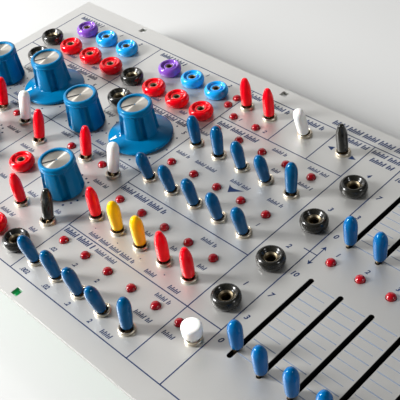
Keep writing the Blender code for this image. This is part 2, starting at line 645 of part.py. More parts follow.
def knob_mesh(skirted):
    """Build a fluted knob on its shaft, with its spun inlay and index line, from its foot up."""
    height = SKIRTED_KNOB_HEIGHT if skirted else KNOB_HEIGHT
    lip = height - KNOB_LIP_HEIGHT
    foot = KNOB_FOOT_GAP
    shaft_end = -(PANEL_THICKNESS + POT_SHAFT_TAIL)
    base = [(KNOB_BASE_RADIUS, foot)]
    if skirted:
        base = [(KNOB_BASE_RADIUS, foot + SKIRT_THICKNESS), (SKIRT_RADIUS, foot + SKIRT_RIM),
                (SKIRT_RADIUS, foot)]
    body = turned("knob blue", [(0.0, height - INLAY_DEPTH), (INLAY_RADIUS, height - INLAY_DEPTH),
                                (INLAY_RADIUS, height), (KNOB_LIP_RADIUS, height), (KNOB_LIP_RADIUS, lip),
                                (KNOB_TOP_RADIUS, lip), *base, (POT_SHAFT_RADIUS, foot),
                                (POT_SHAFT_RADIUS, shaft_end), (0.0, shaft_end)], KNOB_SIDES)
    groove_low = foot + SKIRT_THICKNESS + FIT_GAP if skirted else foot - CUT_OVERRUN
    groove = box("knob blue", 2 * GROOVE_DEPTH, GROOVE_WIDTH, groove_low, lip - FIT_GAP)
    reach = Matrix.Translation((KNOB_BASE_RADIUS, 0, 0))
    turns = [Matrix.Rotation(math.tau * index / GROOVE_COUNT, 4, "Z") for index in range(GROOVE_COUNT)]
    grooved = combined(body, joined([(groove, turn @ reach) for turn in turns]), "DIFFERENCE")
    floor = height - INLAY_DEPTH
    pointer = box("black", POINTER_WIDTH, POINTER_REACH, floor - POINTER_HEIGHT, floor + POINTER_HEIGHT)
    aim = Matrix.Rotation(-math.radians(POINTER_ANGLE), 4, "Z")
    aim = aim @ Matrix.Translation((0, POINTER_REACH / 2, 0))
    return combined(grooved, joined([(pointer, aim)]), "UNION")


def build_knobs():
    """Build the knobs, each with its origin on its shaft's axis at the panel's face."""
    knobs = {skirted: knob_mesh(skirted) for skirted in (False, True)}
    for name, place, skirted in knob_list():
        add_node(name, knobs[skirted], at(*place, PANEL_TOP))


def build_sliders():
    """Build the capped slider levers at their rest places."""
    lever = box("steel", SLIDER_LEVER_WIDTH, SLIDER_LEVER_LENGTH, -PANEL_THICKNESS - SLIDER_LEVER_TAIL,
                SLIDER_CAP_START + SLIDER_LEVER_WIDTH)
    cap = prism("slider blue", SLIDER_CAP_BASE_RADIUS, SLIDER_CAP_START, SLIDER_CAP_HEIGHT,
                SLIDER_CAP_TOP_RADIUS)
    capped = combined(cap, lever, "UNION")
    for name, x, row, lift in slider_list():
        y = SLOT_BOTTOMS[row] + SLIDER_END_GAP + SLIDER_LEVER_LENGTH / 2 + lift
        add_node(name, capped, at(x, y, PANEL_TOP))


clear_scene()
parts = new_collection("function_generator_module")
cutters = new_collection("cutters")
finishes = {name: make_finish(name) for name in FINISHES}
build_panel()
build_control_board()
build_main_board()
build_standoffs()
build_levers()
build_button()
build_knobs()
build_sliders()
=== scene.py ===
"""Dress the function generator module for a studio picture.

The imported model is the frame. Every length below is in millimetres, places on the panel are
measured from its lower left corner, and a piece is scaled to metres when it is finished.
"""
import json
import logging
import math
from collections.abc import Iterable, Mapping, Sequence
from dataclasses import dataclass, field
from enum import Enum, IntEnum

import bmesh
import bpy
from mathutils import Matrix, Vector


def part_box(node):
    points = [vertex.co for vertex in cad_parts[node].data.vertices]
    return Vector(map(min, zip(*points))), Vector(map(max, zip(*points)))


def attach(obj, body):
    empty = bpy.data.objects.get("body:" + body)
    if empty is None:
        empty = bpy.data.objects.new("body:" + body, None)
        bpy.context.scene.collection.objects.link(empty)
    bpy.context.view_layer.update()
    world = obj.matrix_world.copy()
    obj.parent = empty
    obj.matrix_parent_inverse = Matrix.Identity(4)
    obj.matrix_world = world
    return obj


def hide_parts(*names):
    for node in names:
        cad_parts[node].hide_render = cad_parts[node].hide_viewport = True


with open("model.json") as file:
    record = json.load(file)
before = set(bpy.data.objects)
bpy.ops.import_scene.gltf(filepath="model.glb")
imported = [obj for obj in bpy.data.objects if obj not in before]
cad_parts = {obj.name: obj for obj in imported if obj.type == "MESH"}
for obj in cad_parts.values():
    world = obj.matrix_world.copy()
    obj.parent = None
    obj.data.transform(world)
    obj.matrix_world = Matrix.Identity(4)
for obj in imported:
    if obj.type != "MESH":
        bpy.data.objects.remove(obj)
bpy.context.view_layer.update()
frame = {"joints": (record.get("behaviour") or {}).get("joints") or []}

log = logging.getLogger("module_scene")

MM = 0.001
PANEL_BODY = "panel_assembly"
# Vertices closer than this are one.
MERGE = 0.0005
# A wave texture whose scale is one has its bands this far apart.
WAVE_BAND = math.tau / 20
# Noise seldom leaves this span, so a change of roughness is spread over it.
NOISE_SPAN = {"From Min": 0.3, "From Max": 0.7}
# A Mix node's sockets by number: its two colours and their result, and its two numbers.
TONE_A, TONE_B, TONE_OUT = 6, 7, 2
NUMBER_A, NUMBER_B = 2, 3
# The material indices of a piece's second and third finish.
SECOND, THIRD = 1, 2
# The place of a part that is built where it stands.
HERE = (Matrix(),)
Shape = bmesh.types.BMesh
Tree = bpy.types.NodeTree
Node = bpy.types.Node
Spot = tuple[float, float]
Profile = Sequence[tuple[float, ...]]


@dataclass(frozen=True)
class Stack:
    """Heights of the module's layers above the floor."""

    main_bottom: float = 2.5
    main_top: float = 4.1
    control_bottom: float = 19.1
    control_top: float = 20.7
    seat_bottom: float = 21.0
    seat_top: float = 28.4
    panel_bottom: float = 28.7
    face: float = 30.7


@dataclass(frozen=True)
class Outline:
    """The panel's outline and the lines that its sections start from."""

    width: float = 323.85
    height: float = 177.8
    output_lefts: tuple[float, float] = (7.6, 77.6)
    program_left: float = 147.6
    stage_first: float = 253.1
    stage_pitch: float = 14.7
    stage_count: int = 5
    slot_length: float = 50.0
    slot_bottoms: tuple[float, float] = (35.4, 107.2)


STACK = Stack()
OUTLINE = Outline()


def linear(colour: str) -> tuple[float, float, float, float]:
    """Turn an sRGB hex colour into linear RGBA.

    Args:
        colour: Six hex digits, with or without a leading hash.

    Returns:
        The colour as linear red, green, blue and an alpha of one.
    """
    digits = colour.lstrip("#")
    channels = [int(digits[index:index + 2], 16) / 255 for index in (0, 2, 4)]
    red, green, blue = (c / 12.92 if c <= 0.04045 else ((c + 0.055) / 1.055) ** 2.4 for c in channels)
    return red, green, blue, 1.0


def per_metre(size: float) -> float:
    """Give the texture scale whose features are this many millimetres across."""
    return 1 / (size * MM)


def bands_per_metre(pitch: float) -> float:
    """Give the wave texture's scale whose bands are this many millimetres apart."""
    return WAVE_BAND * per_metre(pitch)


def add(tree: Tree, kind: str, settings: Mapping = {}, links: Mapping = {}) -> Node:
    """Add a shader node with its settings and links.

    Args:
        tree: The node tree that takes the node.
        kind: The node's type without its ShaderNode prefix.
        settings: Values by property name, or by input name or number.
        links: Output sockets by input name or number.

    Returns:
        The new node.
    """
    node = tree.nodes.new("ShaderNode" + kind)
    for key, value in settings.items():
        if isinstance(key, str) and hasattr(node, key):
            setattr(node, key, value)
        else:
            node.inputs[key].default_value = value
    for key, socket in links.items():
        tree.links.new(socket, node.inputs[key])
    return node


@dataclass(frozen=True)
class Finish:
    """A finish of the module, made into one material on first use.

    Sizes are in millimetres, and roughness runs from polish below its value to wear above it.
    """

    name: str

    def material(self) -> bpy.types.Material:
        """Give the finish's material, which is made when it is first asked for.

        Returns:
            The material.
        """
        found = bpy.data.materials.get(self.name)
        if found is None:
            found = bpy.data.materials.new(self.name)
            found.use_nodes = True
            found.node_tree.nodes.clear()
            shader = self.shade(found.node_tree)
            add(found.node_tree, "OutputMaterial", links={"Surface": shader.outputs[0]})
        return found

    def shade(self, tree: Tree) -> Node:
        """Add the finish's nodes and return the shader."""
        raise NotImplementedError


@dataclass(frozen=True)
class AnodisedAluminium(Finish):
    """Satin anodised aluminium sheet: soft grey reflections, an etched grain and a faint haze."""

    colour: str = "#d3d2ce"
    haze_colour: str = "#cbcac7"
    roughness: float = 0.48
    grain: float = 0.45
    haze: float = 45.0
    polish: float = 0.05
    wear: float = 0.06

    def shade(self, tree: Tree) -> Node:
        """Add the sheet's nodes.

        Args:
            tree: The material's node tree.

        Returns:
            The shader.
        """
        place = add(tree, "TexCoord").outputs["Object"]
        haze = add(tree, "TexNoise", {"Scale": per_metre(self.haze), "Detail": 3.0}, {"Vector": place})
        # The etched grain is near 0.05 mm in the real sheet, and is drawn nine times as coarse to show.
        grain = add(tree, "TexNoise", {"Scale": per_metre(self.grain), "Detail": 4.0, "Roughness": 0.7},
                    {"Vector": place})
        colour = add(tree, "Mix", {"data_type": "RGBA", TONE_A: linear(self.colour), TONE_B: linear(self.haze_colour)},
                     {0: haze.outputs[0]})
        rough = add(tree, "MapRange", NOISE_SPAN | {"To Min": self.roughness - self.polish,
                                                    "To Max": self.roughness + self.wear}, {"Value": grain.outputs[0]})
        bump = add(tree, "Bump", {"Strength": 0.12, "Distance": 0.02 * MM}, {"Height": grain.outputs[0]})
        return add(tree, "BsdfPrincipled", {"Metallic": 0.82}, {
            "Base Color": colour.outputs[TONE_OUT], "Roughness": rough.outputs[0], "Normal": bump.outputs[0]})


@dataclass(frozen=True)
class TurnedMetal(Finish):
    """Plated or bare metal off a lathe: sharp reflections broken by fine tool marks along its height."""

    colour: str = "#cfc6b6"
    stain_colour: str = "#b9ad9a"
    roughness: float = 0.2
    mark: float = 0.22
    stain: float = 2.5
    polish: float = 0.04
    wear: float = 0.1

    def shade(self, tree: Tree) -> Node:
        """Add the metal's nodes.

        Args:
            tree: The material's node tree.

        Returns:
            The shader.
        """
        place = add(tree, "TexCoord").outputs["Object"]
        stain = add(tree, "TexNoise", {"Scale": per_metre(self.stain), "Detail": 3.0}, {"Vector": place})
        # A tool mark is near 0.05 mm wide, and is drawn about four times as wide to show.
        marks = add(tree, "TexWave", {"wave_type": "BANDS", "bands_direction": "Z",
                                      "Scale": bands_per_metre(self.mark), "Distortion": 0.6, "Detail": 2.0},
                    {"Vector": place})
        colour = add(tree, "Mix", {"data_type": "RGBA", TONE_A: linear(self.colour), TONE_B: linear(self.stain_colour)},
                     {0: stain.outputs[0]})
        rough = add(tree, "MapRange", NOISE_SPAN | {"To Min": self.roughness - self.polish,
                                                    "To Max": self.roughness + self.wear}, {"Value": stain.outputs[0]})
        bump = add(tree, "Bump", {"Strength": 0.15, "Distance": 0.02 * MM}, {"Height": marks.outputs[0]})
        return add(tree, "BsdfPrincipled", {"Metallic": 1.0}, {
            "Base Color": colour.outputs[TONE_OUT], "Roughness": rough.outputs[0], "Normal": bump.outputs[0]})


@dataclass(frozen=True)
class SpunAluminium(Finish):
    """Aluminium foil disc spun on a lathe: the fine rings pull highlights out into bright wedges."""

    colour: str = "#bab5ac"
    dark_colour: str = "#a9a49a"
    roughness: float = 0.32
    ring: float = 0.35
    map_name: str = "spun"

    def shade(self, tree: Tree) -> Node:
        """Add the disc's nodes, which follow its own map.

        Args:
            tree: The material's node tree.

        Returns:
            The shader.
        """
        place = add(tree, "UVMap", {"uv_map": self.map_name}).outputs[0]
        along = add(tree, "Tangent", {"direction_type": "UV_MAP", "uv_map": self.map_name}).outputs[0]
        # The map counts millimetres outwards in U. The rings are near 0.1 mm apart, and are drawn wider to show.
        rings = add(tree, "TexWave", {"wave_type": "BANDS", "bands_direction": "X",
                                      "Scale": WAVE_BAND / self.ring, "Distortion": 0.0, "Detail": 0.0},
                    {"Vector": place})
        colour = add(tree, "Mix", {"data_type": "RGBA", TONE_A: linear(self.colour), TONE_B: linear(self.dark_colour)},
                     {0: rings.outputs["Fac"]})
        bump = add(tree, "Bump", {"Strength": 0.06, "Distance": 0.01 * MM}, {"Height": rings.outputs["Fac"]})
        return add(tree, "BsdfPrincipled", {"Metallic": 1.0, "Roughness": self.roughness, "Anisotropic": 0.96}, {
            "Base Color": colour.outputs[TONE_OUT], "Normal": bump.outputs[0], "Tangent": along})


@dataclass(frozen=True)
class MouldedPlastic(Finish):
    """Injection-moulded ABS: deep even colour under a gloss that ripples slightly with the mould's grain."""

    colour: str = "#0d4f8c"
    shade_colour: str = "#0b4680"
    roughness: float = 0.22
    grain: float = 0.6
    grain_depth: float = 0.008
    glow: float = 0.0
    glow_depth: float = 1.2
    gloss: float = 0.3
    specular: float = 0.2
    reflection: str = "#ffffff"
    flow: float = 6.0
    polish: float = 0.04
    wear: float = 0.07

    def shade(self, tree: Tree) -> Node:
        """Add the plastic's nodes.

        Args:
            tree: The material's node tree.

        Returns:
            The shader.
        """
        place = add(tree, "TexCoord").outputs["Object"]
        flow = add(tree, "TexNoise", {"Scale": per_metre(self.flow), "Detail": 3.0, "Distortion": 0.6},
                   {"Vector": place})
        grain = add(tree, "TexNoise", {"Scale": per_metre(self.grain), "Detail": 3.0}, {"Vector": place})
        colour = add(tree, "Mix", {"data_type": "RGBA", TONE_A: linear(self.colour), TONE_B: linear(self.shade_colour)},
                     {0: flow.outputs[0]})
        rough = add(tree, "MapRange", NOISE_SPAN | {"To Min": self.roughness - self.polish,
                                                    "To Max": self.roughness + self.wear}, {"Value": grain.outputs[0]})
        bump = add(tree, "Bump", {"Strength": 0.25, "Distance": self.grain_depth * MM},
                   {"Height": grain.outputs[0]})
        return add(tree, "BsdfPrincipled", {
            "IOR": 1.53, "Specular IOR Level": self.specular, "Specular Tint": linear(self.reflection),
            "Subsurface Weight": self.glow, "Subsurface Radius": (1.0, 0.7, 0.5),
            "Subsurface Scale": self.glow_depth * MM,
            "Coat Weight": self.gloss, "Coat Roughness": 0.05}, {
            "Base Color": colour.outputs[TONE_OUT], "Roughness": rough.outputs[0], "Normal": bump.outputs[0]})


@dataclass(frozen=True)
class Felt(Finish):
    """Black needled felt of a dust strip: it swallows light, and only its loose fibres catch a little."""

    colour: str = "#0b0b0b"
    fibre_colour: str = "#191919"
    fibre: float = 0.25

    def shade(self, tree: Tree) -> Node:
        """Add the felt's nodes.

        Args:
            tree: The material's node tree.

        Returns:
            The shader.
        """
        place = add(tree, "TexCoord").outputs["Object"]
        # A fibre is near 0.02 mm thick, and is drawn as tufts of a quarter millimetre.
        fibre = add(tree, "TexNoise", {"Scale": per_metre(self.fibre), "Detail": 4.0}, {"Vector": place})
        colour = add(tree, "Mix", {"data_type": "RGBA", TONE_A: linear(self.colour), TONE_B: linear(self.fibre_colour)},
                     {0: fibre.outputs[0]})
        return add(tree, "BsdfPrincipled", {"Roughness": 1.0, "Specular IOR Level": 0.1},
                   {"Base Color": colour.outputs[TONE_OUT]})


@dataclass(frozen=True)
class LampEpoxy(Finish):
    """Tinted epoxy of an unlit lamp: dark in its core, a clear glossy skin and light bleeding at the rim."""

    colour: str = "#b80a1c"
    core_colour: str = "#6a0510"
    cloud: float = 1.6
    glow_depth: float = 1.5

    def shade(self, tree: Tree) -> Node:
        """Add the epoxy's nodes.

        Args:
            tree: The material's node tree.

        Returns:
            The shader.
        """
        place = add(tree, "TexCoord").outputs["Object"]
        cloud = add(tree, "TexNoise", {"Scale": per_metre(self.cloud), "Detail": 2.0}, {"Vector": place})
        colour = add(tree, "Mix", {"data_type": "RGBA", TONE_A: linear(self.colour), TONE_B: linear(self.core_colour)},
                     {0: cloud.outputs[0]})
        rough = add(tree, "MapRange", {"To Min": 0.1, "To Max": 0.2}, {"Value": cloud.outputs[0]})
        return add(tree, "BsdfPrincipled", {
            "IOR": 1.55, "Specular IOR Level": 0.2, "Subsurface Weight": 0.35,
            "Subsurface Radius": (1.0, 0.12, 0.1), "Subsurface Scale": self.glow_depth * MM, "Coat Weight": 0.6,
            "Coat Roughness": 0.04}, {
            "Base Color": colour.outputs[TONE_OUT], "Roughness": rough.outputs[0]})


@dataclass(frozen=True)
class ScreenInk(Finish):
    """Screen-printed epoxy ink: flat and matt, a little thin where the mesh of the screen let it break up."""

    colour: str = "#10264d"
    thin_colour: str = "#19325c"
    weave: float = 0.3

    def shade(self, tree: Tree) -> Node:
        """Add the ink's nodes.

        Args:
            tree: The material's node tree.

        Returns:
            The shader.
        """
        place = add(tree, "TexCoord").outputs["Object"]
        # The screen has near 0.1 mm openings, drawn at 0.3 mm to show.
        weave = add(tree, "TexNoise", {"Scale": per_metre(self.weave), "Detail": 2.0}, {"Vector": place})
        colour = add(tree, "Mix", {"data_type": "RGBA", TONE_A: linear(self.colour), TONE_B: linear(self.thin_colour)},
                     {0: weave.outputs[0]})
        rough = add(tree, "MapRange", {"To Min": 0.45, "To Max": 0.62}, {"Value": weave.outputs[0]})
        return add(tree, "BsdfPrincipled", {"IOR": 1.5, "Specular IOR Level": 0.25}, {
            "Base Color": colour.outputs[TONE_OUT], "Roughness": rough.outputs[0]})


@dataclass(frozen=True)
class SolderMask(Finish):
    """Glass-epoxy board under green solder mask: glossy, with copper tracks standing up beneath it."""

    colour: str = "#0c8a48"
    track_colour: str = "#15a75e"
    pitch: float = 1.27
    patch: float = 16.0
    bare_share: float = 0.35
    track_edge: float = 0.62

    def shade(self, tree: Tree) -> Node:
        """Add the mask's nodes.

        Args:
            tree: The material's node tree.

        Returns:
            The shader.
        """
        place = add(tree, "TexCoord").outputs["Object"]
        scale = bands_per_metre(self.pitch)
        runs = [add(tree, "TexWave", {"wave_type": "BANDS", "bands_direction": direction, "Scale": scale,
                                      "Distortion": 0.0}, {"Vector": place}).outputs["Fac"]
                for direction in ("X", "Y")]
        # Square patches of the board take tracks that run one way or the other, or none.
        cells = add(tree, "TexVoronoi", {"distance": "CHEBYCHEV", "Scale": per_metre(self.patch)},
                    {"Vector": place})
        pick = add(tree, "SeparateColor", links={0: cells.outputs["Color"]})
        choice = add(tree, "Math", {"operation": "GREATER_THAN", 1: 0.5}, {0: pick.outputs[0]})
        drawn = add(tree, "Math", {"operation": "GREATER_THAN", 1: self.bare_share}, {0: pick.outputs[1]})
        run = add(tree, "Mix", {"data_type": "FLOAT"}, {0: choice.outputs[0], NUMBER_A: runs[0], NUMBER_B: runs[1]})
        line = add(tree, "Math", {"operation": "GREATER_THAN", 1: self.track_edge}, {0: run.outputs[0]})
        track = add(tree, "Math", {"operation": "MULTIPLY"}, {0: line.outputs[0], 1: drawn.outputs[0]})
        colour = add(tree, "Mix", {"data_type": "RGBA", TONE_A: linear(self.colour), TONE_B: linear(self.track_colour)},
                     {0: track.outputs[0]})
        bump = add(tree, "Bump", {"Strength": 0.4, "Distance": 0.05 * MM}, {"Height": track.outputs[0]})
        return add(tree, "BsdfPrincipled", {"IOR": 1.52, "Roughness": 0.28, "Coat Weight": 0.3,
                                            "Coat Roughness": 0.1}, {
            "Base Color": colour.outputs[TONE_OUT], "Normal": bump.outputs[0]})


@dataclass(frozen=True)
class StudioPaper(Finish):
    """Seamless background paper: matt and pale, with a trace of tone in it."""

    colour: str = "#cfcfcd"
    tone_colour: str = "#c9c9c8"
    tone: float = 400.0

    def shade(self, tree: Tree) -> Node:
        """Add the paper's nodes.

        Args:
            tree: The material's node tree.

        Returns:
            The shader.
        """
        place = add(tree, "TexCoord").outputs["Object"]
        tone = add(tree, "TexNoise", {"Scale": per_metre(self.tone), "Detail": 2.0}, {"Vector": place})
        colour = add(tree, "Mix", {"data_type": "RGBA", TONE_A: linear(self.colour), TONE_B: linear(self.tone_colour)},
                     {0: tone.outputs[0]})
        return add(tree, "BsdfPrincipled", {"Roughness": 0.95, "Specular IOR Level": 0.1},
                   {"Base Color": colour.outputs[TONE_OUT]})


# Silvery satin that stays even across the panel, without a clear mirror image.
PANEL_SHEET = AnodisedAluminium("satin_anodised_aluminium")
# A thin darker line round the sheet and its holes, where the tool left it raw.
BARE_EDGE = AnodisedAluminium("sheared_aluminium_edge", colour="#a3a29f", haze_colour="#989794", roughness=0.5)
# Navy so deep that it reads as black at arm's length, and never shines.
INK = ScreenInk("navy_screen_ink")
# The same ink in hairlines, where the metal shows through and greys it.
FINE_INK = ScreenInk("thin_navy_screen_ink", colour="#74839a", thin_colour="#8591a3")
# Bright and slightly warm, with a hard highlight down one side.
NICKEL = TurnedMetal("nickel_plated_brass")
# Tumbled before plating, so the nuts glow softly and don't glitter.
SATIN_NICKEL = TurnedMetal("satin_nickel_nut", colour="#d9d0bf", stain_colour="#c8bda9", roughness=0.34)
# Rubbed and brownish round the mouth, where plugs have scraped it.
WORN_NICKEL = TurnedMetal("worn_nickel_socket", colour="#a3967e", stain_colour="#887b63", roughness=0.42)
# Dull brown in the bores and on the levers, away from any hand.
DARK_NICKEL = TurnedMetal("oxidised_nickel_bore", colour="#8a7a62", stain_colour="#5f513d", roughness=0.3)
# Cool grey with a blurred sheen, as pressed brackets and cans have.
STEEL = TurnedMetal("zinc_plated_steel", colour="#b4b5b3", stain_colour="#a1a29e", roughness=0.34)
# Soft silver that clouds over in small patches.
TIN = TurnedMetal("tinned_copper", colour="#c9cac8", stain_colour="#b3b4b0", roughness=0.3, stain=0.9)
# A flash of yellow among the grey of the boards.
GOLD = TurnedMetal("gold_plated_pin", colour="#d8b868", stain_colour="#c9a653", roughness=0.22, stain=0.9)
# Two bright wedges that swing round the disc as it turns.
FOIL = SpunAluminium("spun_aluminium_disc")
# Wet-looking green, with the tracks a shade lighter.
MASK = SolderMask("green_solder_mask")
# Saturated blue that keeps its colour even where it shines.
BLUE = MouldedPlastic("blue_abs", "#005786", "#004c78", roughness=0.14, gloss=0.32, specular=0.25,
                      reflection="#3ca0f0")
# Light goes a little way in, so the shaded side stays warm and red.
RED = MouldedPlastic("red_abs", "#fb001a", "#f00017", roughness=0.15, glow=0.35, gloss=0.25, specular=0.5,
                     reflection="#ff6464")
# As the red: it glows from within, and turns orange only at its foot.
YELLOW = MouldedPlastic("yellow_abs", "#ffc400", "#fbb900", roughness=0.15, glow=0.35, gloss=0.25, specular=0.5,
                        reflection="#ffdc6e")
# Milky and pebbled, with a broad dull highlight and no sharp one.
WHITE = MouldedPlastic("white_vinyl_sleeve", "#fcfaf6", "#f6f3ee", roughness=0.3, glow=0.25, grain=1.2,
                       grain_depth=0.05, specular=0.4)
# Piano black: nothing but its highlights shows.
BLACK = MouldedPlastic("black_abs", "#20201b", "#181815", roughness=0.15, gloss=0.6)
# Greener than the caps, and satin, since fingers have dulled it.
KNOB_BLUE = MouldedPlastic("knob_blue_abs", "#0070a2", "#006896", roughness=0.32, grain=0.4, grain_depth=0.01,
                           gloss=0.18, specular=0.2, reflection="#50c8ff")
# The blue of the caps, a little stronger.
SLIDER_BLUE = MouldedPlastic("slider_blue_abs", "#00619c", "#005790", roughness=0.16, gloss=0.32, specular=0.25,
                             reflection="#3ca0f0")
# Waxy black whose rounded shoulder catches a soft ring of light.
COLLAR_BLACK = MouldedPlastic("black_nylon", "#23221d", "#1b1a17", roughness=0.26, gloss=0.5)
# Bright red with a trace of glow in its thin rim.
COLLAR_RED = MouldedPlastic("red_nylon", "#ee0014", "#dd0012", roughness=0.16, glow=0.15, gloss=0.5, specular=0.1)
# Sky blue, shiny enough to show where its dish turns down.
COLLAR_LIGHT_BLUE = MouldedPlastic("light_blue_nylon", "#14a2ec", "#1098e0", roughness=0.16, gloss=0.6)
# Muted violet with the same shine.
COLLAR_PURPLE = MouldedPlastic("purple_nylon", "#8450ba", "#7947ae", roughness=0.16, gloss=0.6)
# Flat filled-in paint that stays clear against the blue skirt.
WHITE_LINE = MouldedPlastic("white_line_enamel", "#f2f0ec", "#e9e6e0", roughness=0.35)
# Flat black paint that stays clear against the bright disc.
BLACK_LINE = MouldedPlastic("black_line_enamel", "#15161a", "#101115", roughness=0.35)
# Sooty and gritty, as the mould of a chip leaves it.
EPOXY = MouldedPlastic("black_moulding_epoxy", "#1d1d1f", "#242427", roughness=0.5, grain=0.3, grain_depth=0.03)
# Brown paper board with a dull waxy face.
PHENOLIC = MouldedPlastic("brown_phenolic_board", "#6b4423", "#5a381c", roughness=0.5)
# Dark bottle green, smooth and hard.
SWITCH_CASE = MouldedPlastic("dark_green_phenolic", "#1f3a33", "#19302a", roughness=0.4)
# A slot lined with it is a black gap from any side.
DUST_STRIP = Felt("black_felt_dust_strip")
# Caramel with a thick soft-edged gloss, from dipping.
CERAMIC = MouldedPlastic("amber_dipped_ceramic", "#c98a2b", "#b97b22", roughness=0.35)
# Sand-coloured paint, hardly shiny.
RESISTOR = MouldedPlastic("beige_resistor_lacquer", "#c9a878", "#bc9a69", roughness=0.4)
# Shrunk-on film: dark blue with a tight highlight.
SLEEVE = MouldedPlastic("dark_blue_capacitor_sleeve", "#1b2a4a", "#16233f", roughness=0.3)
# Ruby that is nearly black in its depth.
LAMP = LampEpoxy("tinted_lamp_epoxy")
# A quiet ground that takes the shadow and adds no colour.
PAPER = StudioPaper("seamless_pale_paper")


def tidy(shape: Shape) -> Shape:
    """Merge a shape's doubles and turn its faces outwards.

    Args:
        shape: The shape.

    Returns:
        The same shape.
    """
    bmesh.ops.remove_doubles(shape, verts=shape.verts, dist=MERGE)
    bmesh.ops.recalc_face_normals(shape, faces=shape.faces)
    return shape


def lathe(profile: Profile, steps: int = 32, closed: bool = False) -> Shape:
    """Spin a profile about the Z axis.

    Args:
        profile: Radius and height pairs, each with an optional fillet size as its third value.
        steps: Steps of the full turn.
        closed: Whether the last point joins the first, as it does for a ring.

    Returns:
        The spun shape.
    """
    shape = bmesh.new()
    points = [shape.verts.new((corner[0], 0.0, corner[1])) for corner in profile]
    for first, second in zip(points, points[1:] + points[:1] if closed else points[1:]):
        shape.edges.new((first, second))
    for point, corner in zip(points, profile):
        if len(corner) > 2:
            bmesh.ops.bevel(shape, geom=[point], affect="VERTICES", offset=corner[2], segments=3, profile=0.5,
                            material=-1)
    bmesh.ops.spin(shape, geom=shape.verts[:] + shape.edges[:], axis=(0, 0, 1), cent=(0, 0, 0), dvec=(0, 0, 0),
                   angle=math.tau, steps=steps, use_merge=True, use_duplicate=False)
    return tidy(shape)


def slab(width: float, length: float, low: float, high: float, edge: float = 0.0,
         middle: Spot = (0.0, 0.0)) -> Shape:
    """Make an upright block.

    Args:
        width: Its size along X.
        length: Its size along Y.
        low: The height of its underside.
        high: The height of its top.
        edge: The width of its edges' bevel.
        middle: Its middle in X and Y.

    Returns:
        The block.
    """
    shape = bmesh.new()
    size = Matrix.Diagonal((width, length, high - low, 1.0))
    bmesh.ops.create_cube(shape, size=1.0, matrix=Matrix.Translation((*middle, (low + high) / 2)) @ size)
    if edge:
        bmesh.ops.bevel(shape, geom=shape.edges[:], affect="EDGES", offset=edge, segments=2, profile=0.5,
                        material=-1)
    return shape


def prism(outline: Sequence[Spot], low: float, high: float) -> Shape:
    """Raise a flat outline into a prism.

    Args:
        outline: The outline's corners in order.
        low: The height of its underside.
        high: The height of its top.

    Returns:
        The prism.
    """
    shape = bmesh.new()
    base = shape.faces.new([shape.verts.new((x, y, low)) for x, y in outline])
    pull(shape, [base], (0, 0, high - low))
    return tidy(shape)


def pull(shape: Shape, faces: Sequence[bmesh.types.BMFace], shift: Sequence[float]) -> None:
    """Extrude faces of a shape, which stay where they are, and move the new ones.

    Args:
        shape: The shape.
        faces: The faces of it that are extruded.
        shift: How far the new faces move.
    """
    made = bmesh.ops.extrude_face_region(shape, geom=faces)["geom"]
    bmesh.ops.translate(shape, vec=shift, verts=[item for item in made if isinstance(item, bmesh.types.BMVert)])


def hexagon(radius: float, low: float, high: float, edge: float) -> Shape:
    """Make an upright hexagonal bar.

    Args:
        radius: Its radius across corners.
        low: The height of its underside.
        high: The height of its top.
        edge: The width of its edges' bevel.

    Returns:
        The bar.
    """
    shape = bmesh.new()
    bmesh.ops.create_cone(shape, cap_ends=True, segments=6, radius1=radius, radius2=radius, depth=high - low,
                          matrix=Matrix.Translation((0, 0, (low + high) / 2)))
    bmesh.ops.bevel(shape, geom=shape.edges[:], affect="EDGES", offset=edge, segments=1, profile=0.5, material=-1)
    return shape


def painted(shape: Shape, index: int) -> Shape:
    """Give all of a shape's faces one material index.

    Args:
        shape: The shape.
        index: The material index.

    Returns:
        The same shape.
    """
    for face in shape.faces:
        face.material_index = index
    return shape


def mesh_of(shape: Shape, name: str) -> bpy.types.Mesh:
    """Turn a shape into a mesh.

    Args:
        shape: The shape, which is freed.
        name: The mesh's name.

    Returns:
        The mesh.
    """
    mesh = bpy.data.meshes.new(name)
    shape.to_mesh(mesh)
    shape.free()
    return mesh


def new_object(name: str, data: bpy.types.ID) -> bpy.types.Object:
    """Make an object and link it to the scene.

    Args:
        name: The object's name.
        data: Its mesh, curve, camera or light.

    Returns:
        The new object.
    """
    item = bpy.data.objects.new(name, data)
    bpy.context.scene.collection.objects.link(item)
    return item


def gathered(copies: Iterable[tuple[Shape, Iterable[Matrix]]]) -> Shape:
    """Copy shapes to their places in one shape, and free the originals.

    Args:
        copies: Shapes, each with the matrices of its places.

    Returns:
        One shape that holds every copy.
    """
    result = bmesh.new()
    for shape, places in copies:
        pattern = mesh_of(shape, "pattern")
        for place in places:
            copy = pattern.copy()
            copy.transform(place)
            result.from_mesh(copy)
            bpy.data.meshes.remove(copy)
        bpy.data.meshes.remove(pattern)
    return result


def on_panel(x: float, y: float, z: float = 0.0) -> Matrix:
    """Give the matrix of a place measured from the panel's lower left corner."""
    return Matrix.Translation((x - OUTLINE.width / 2, y - OUTLINE.height / 2, z))


def all_on_panel(spots: Iterable[Spot], z: float = 0.0) -> list[Matrix]:
    """Give the matrices of several places on the panel."""
    return [on_panel(x, y, z) for x, y in spots]


def node_spot(node: str) -> Spot:
    """Give the middle of a node of the frame, measured from the panel's lower left corner.

    Args:
        node: The node's name.

    Returns:
        Its place along and up the panel.
    """
    low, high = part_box(node)
    middle = (low + high) / (2 * MM)
    return middle.x + OUTLINE.width / 2, middle.y + OUTLINE.height / 2


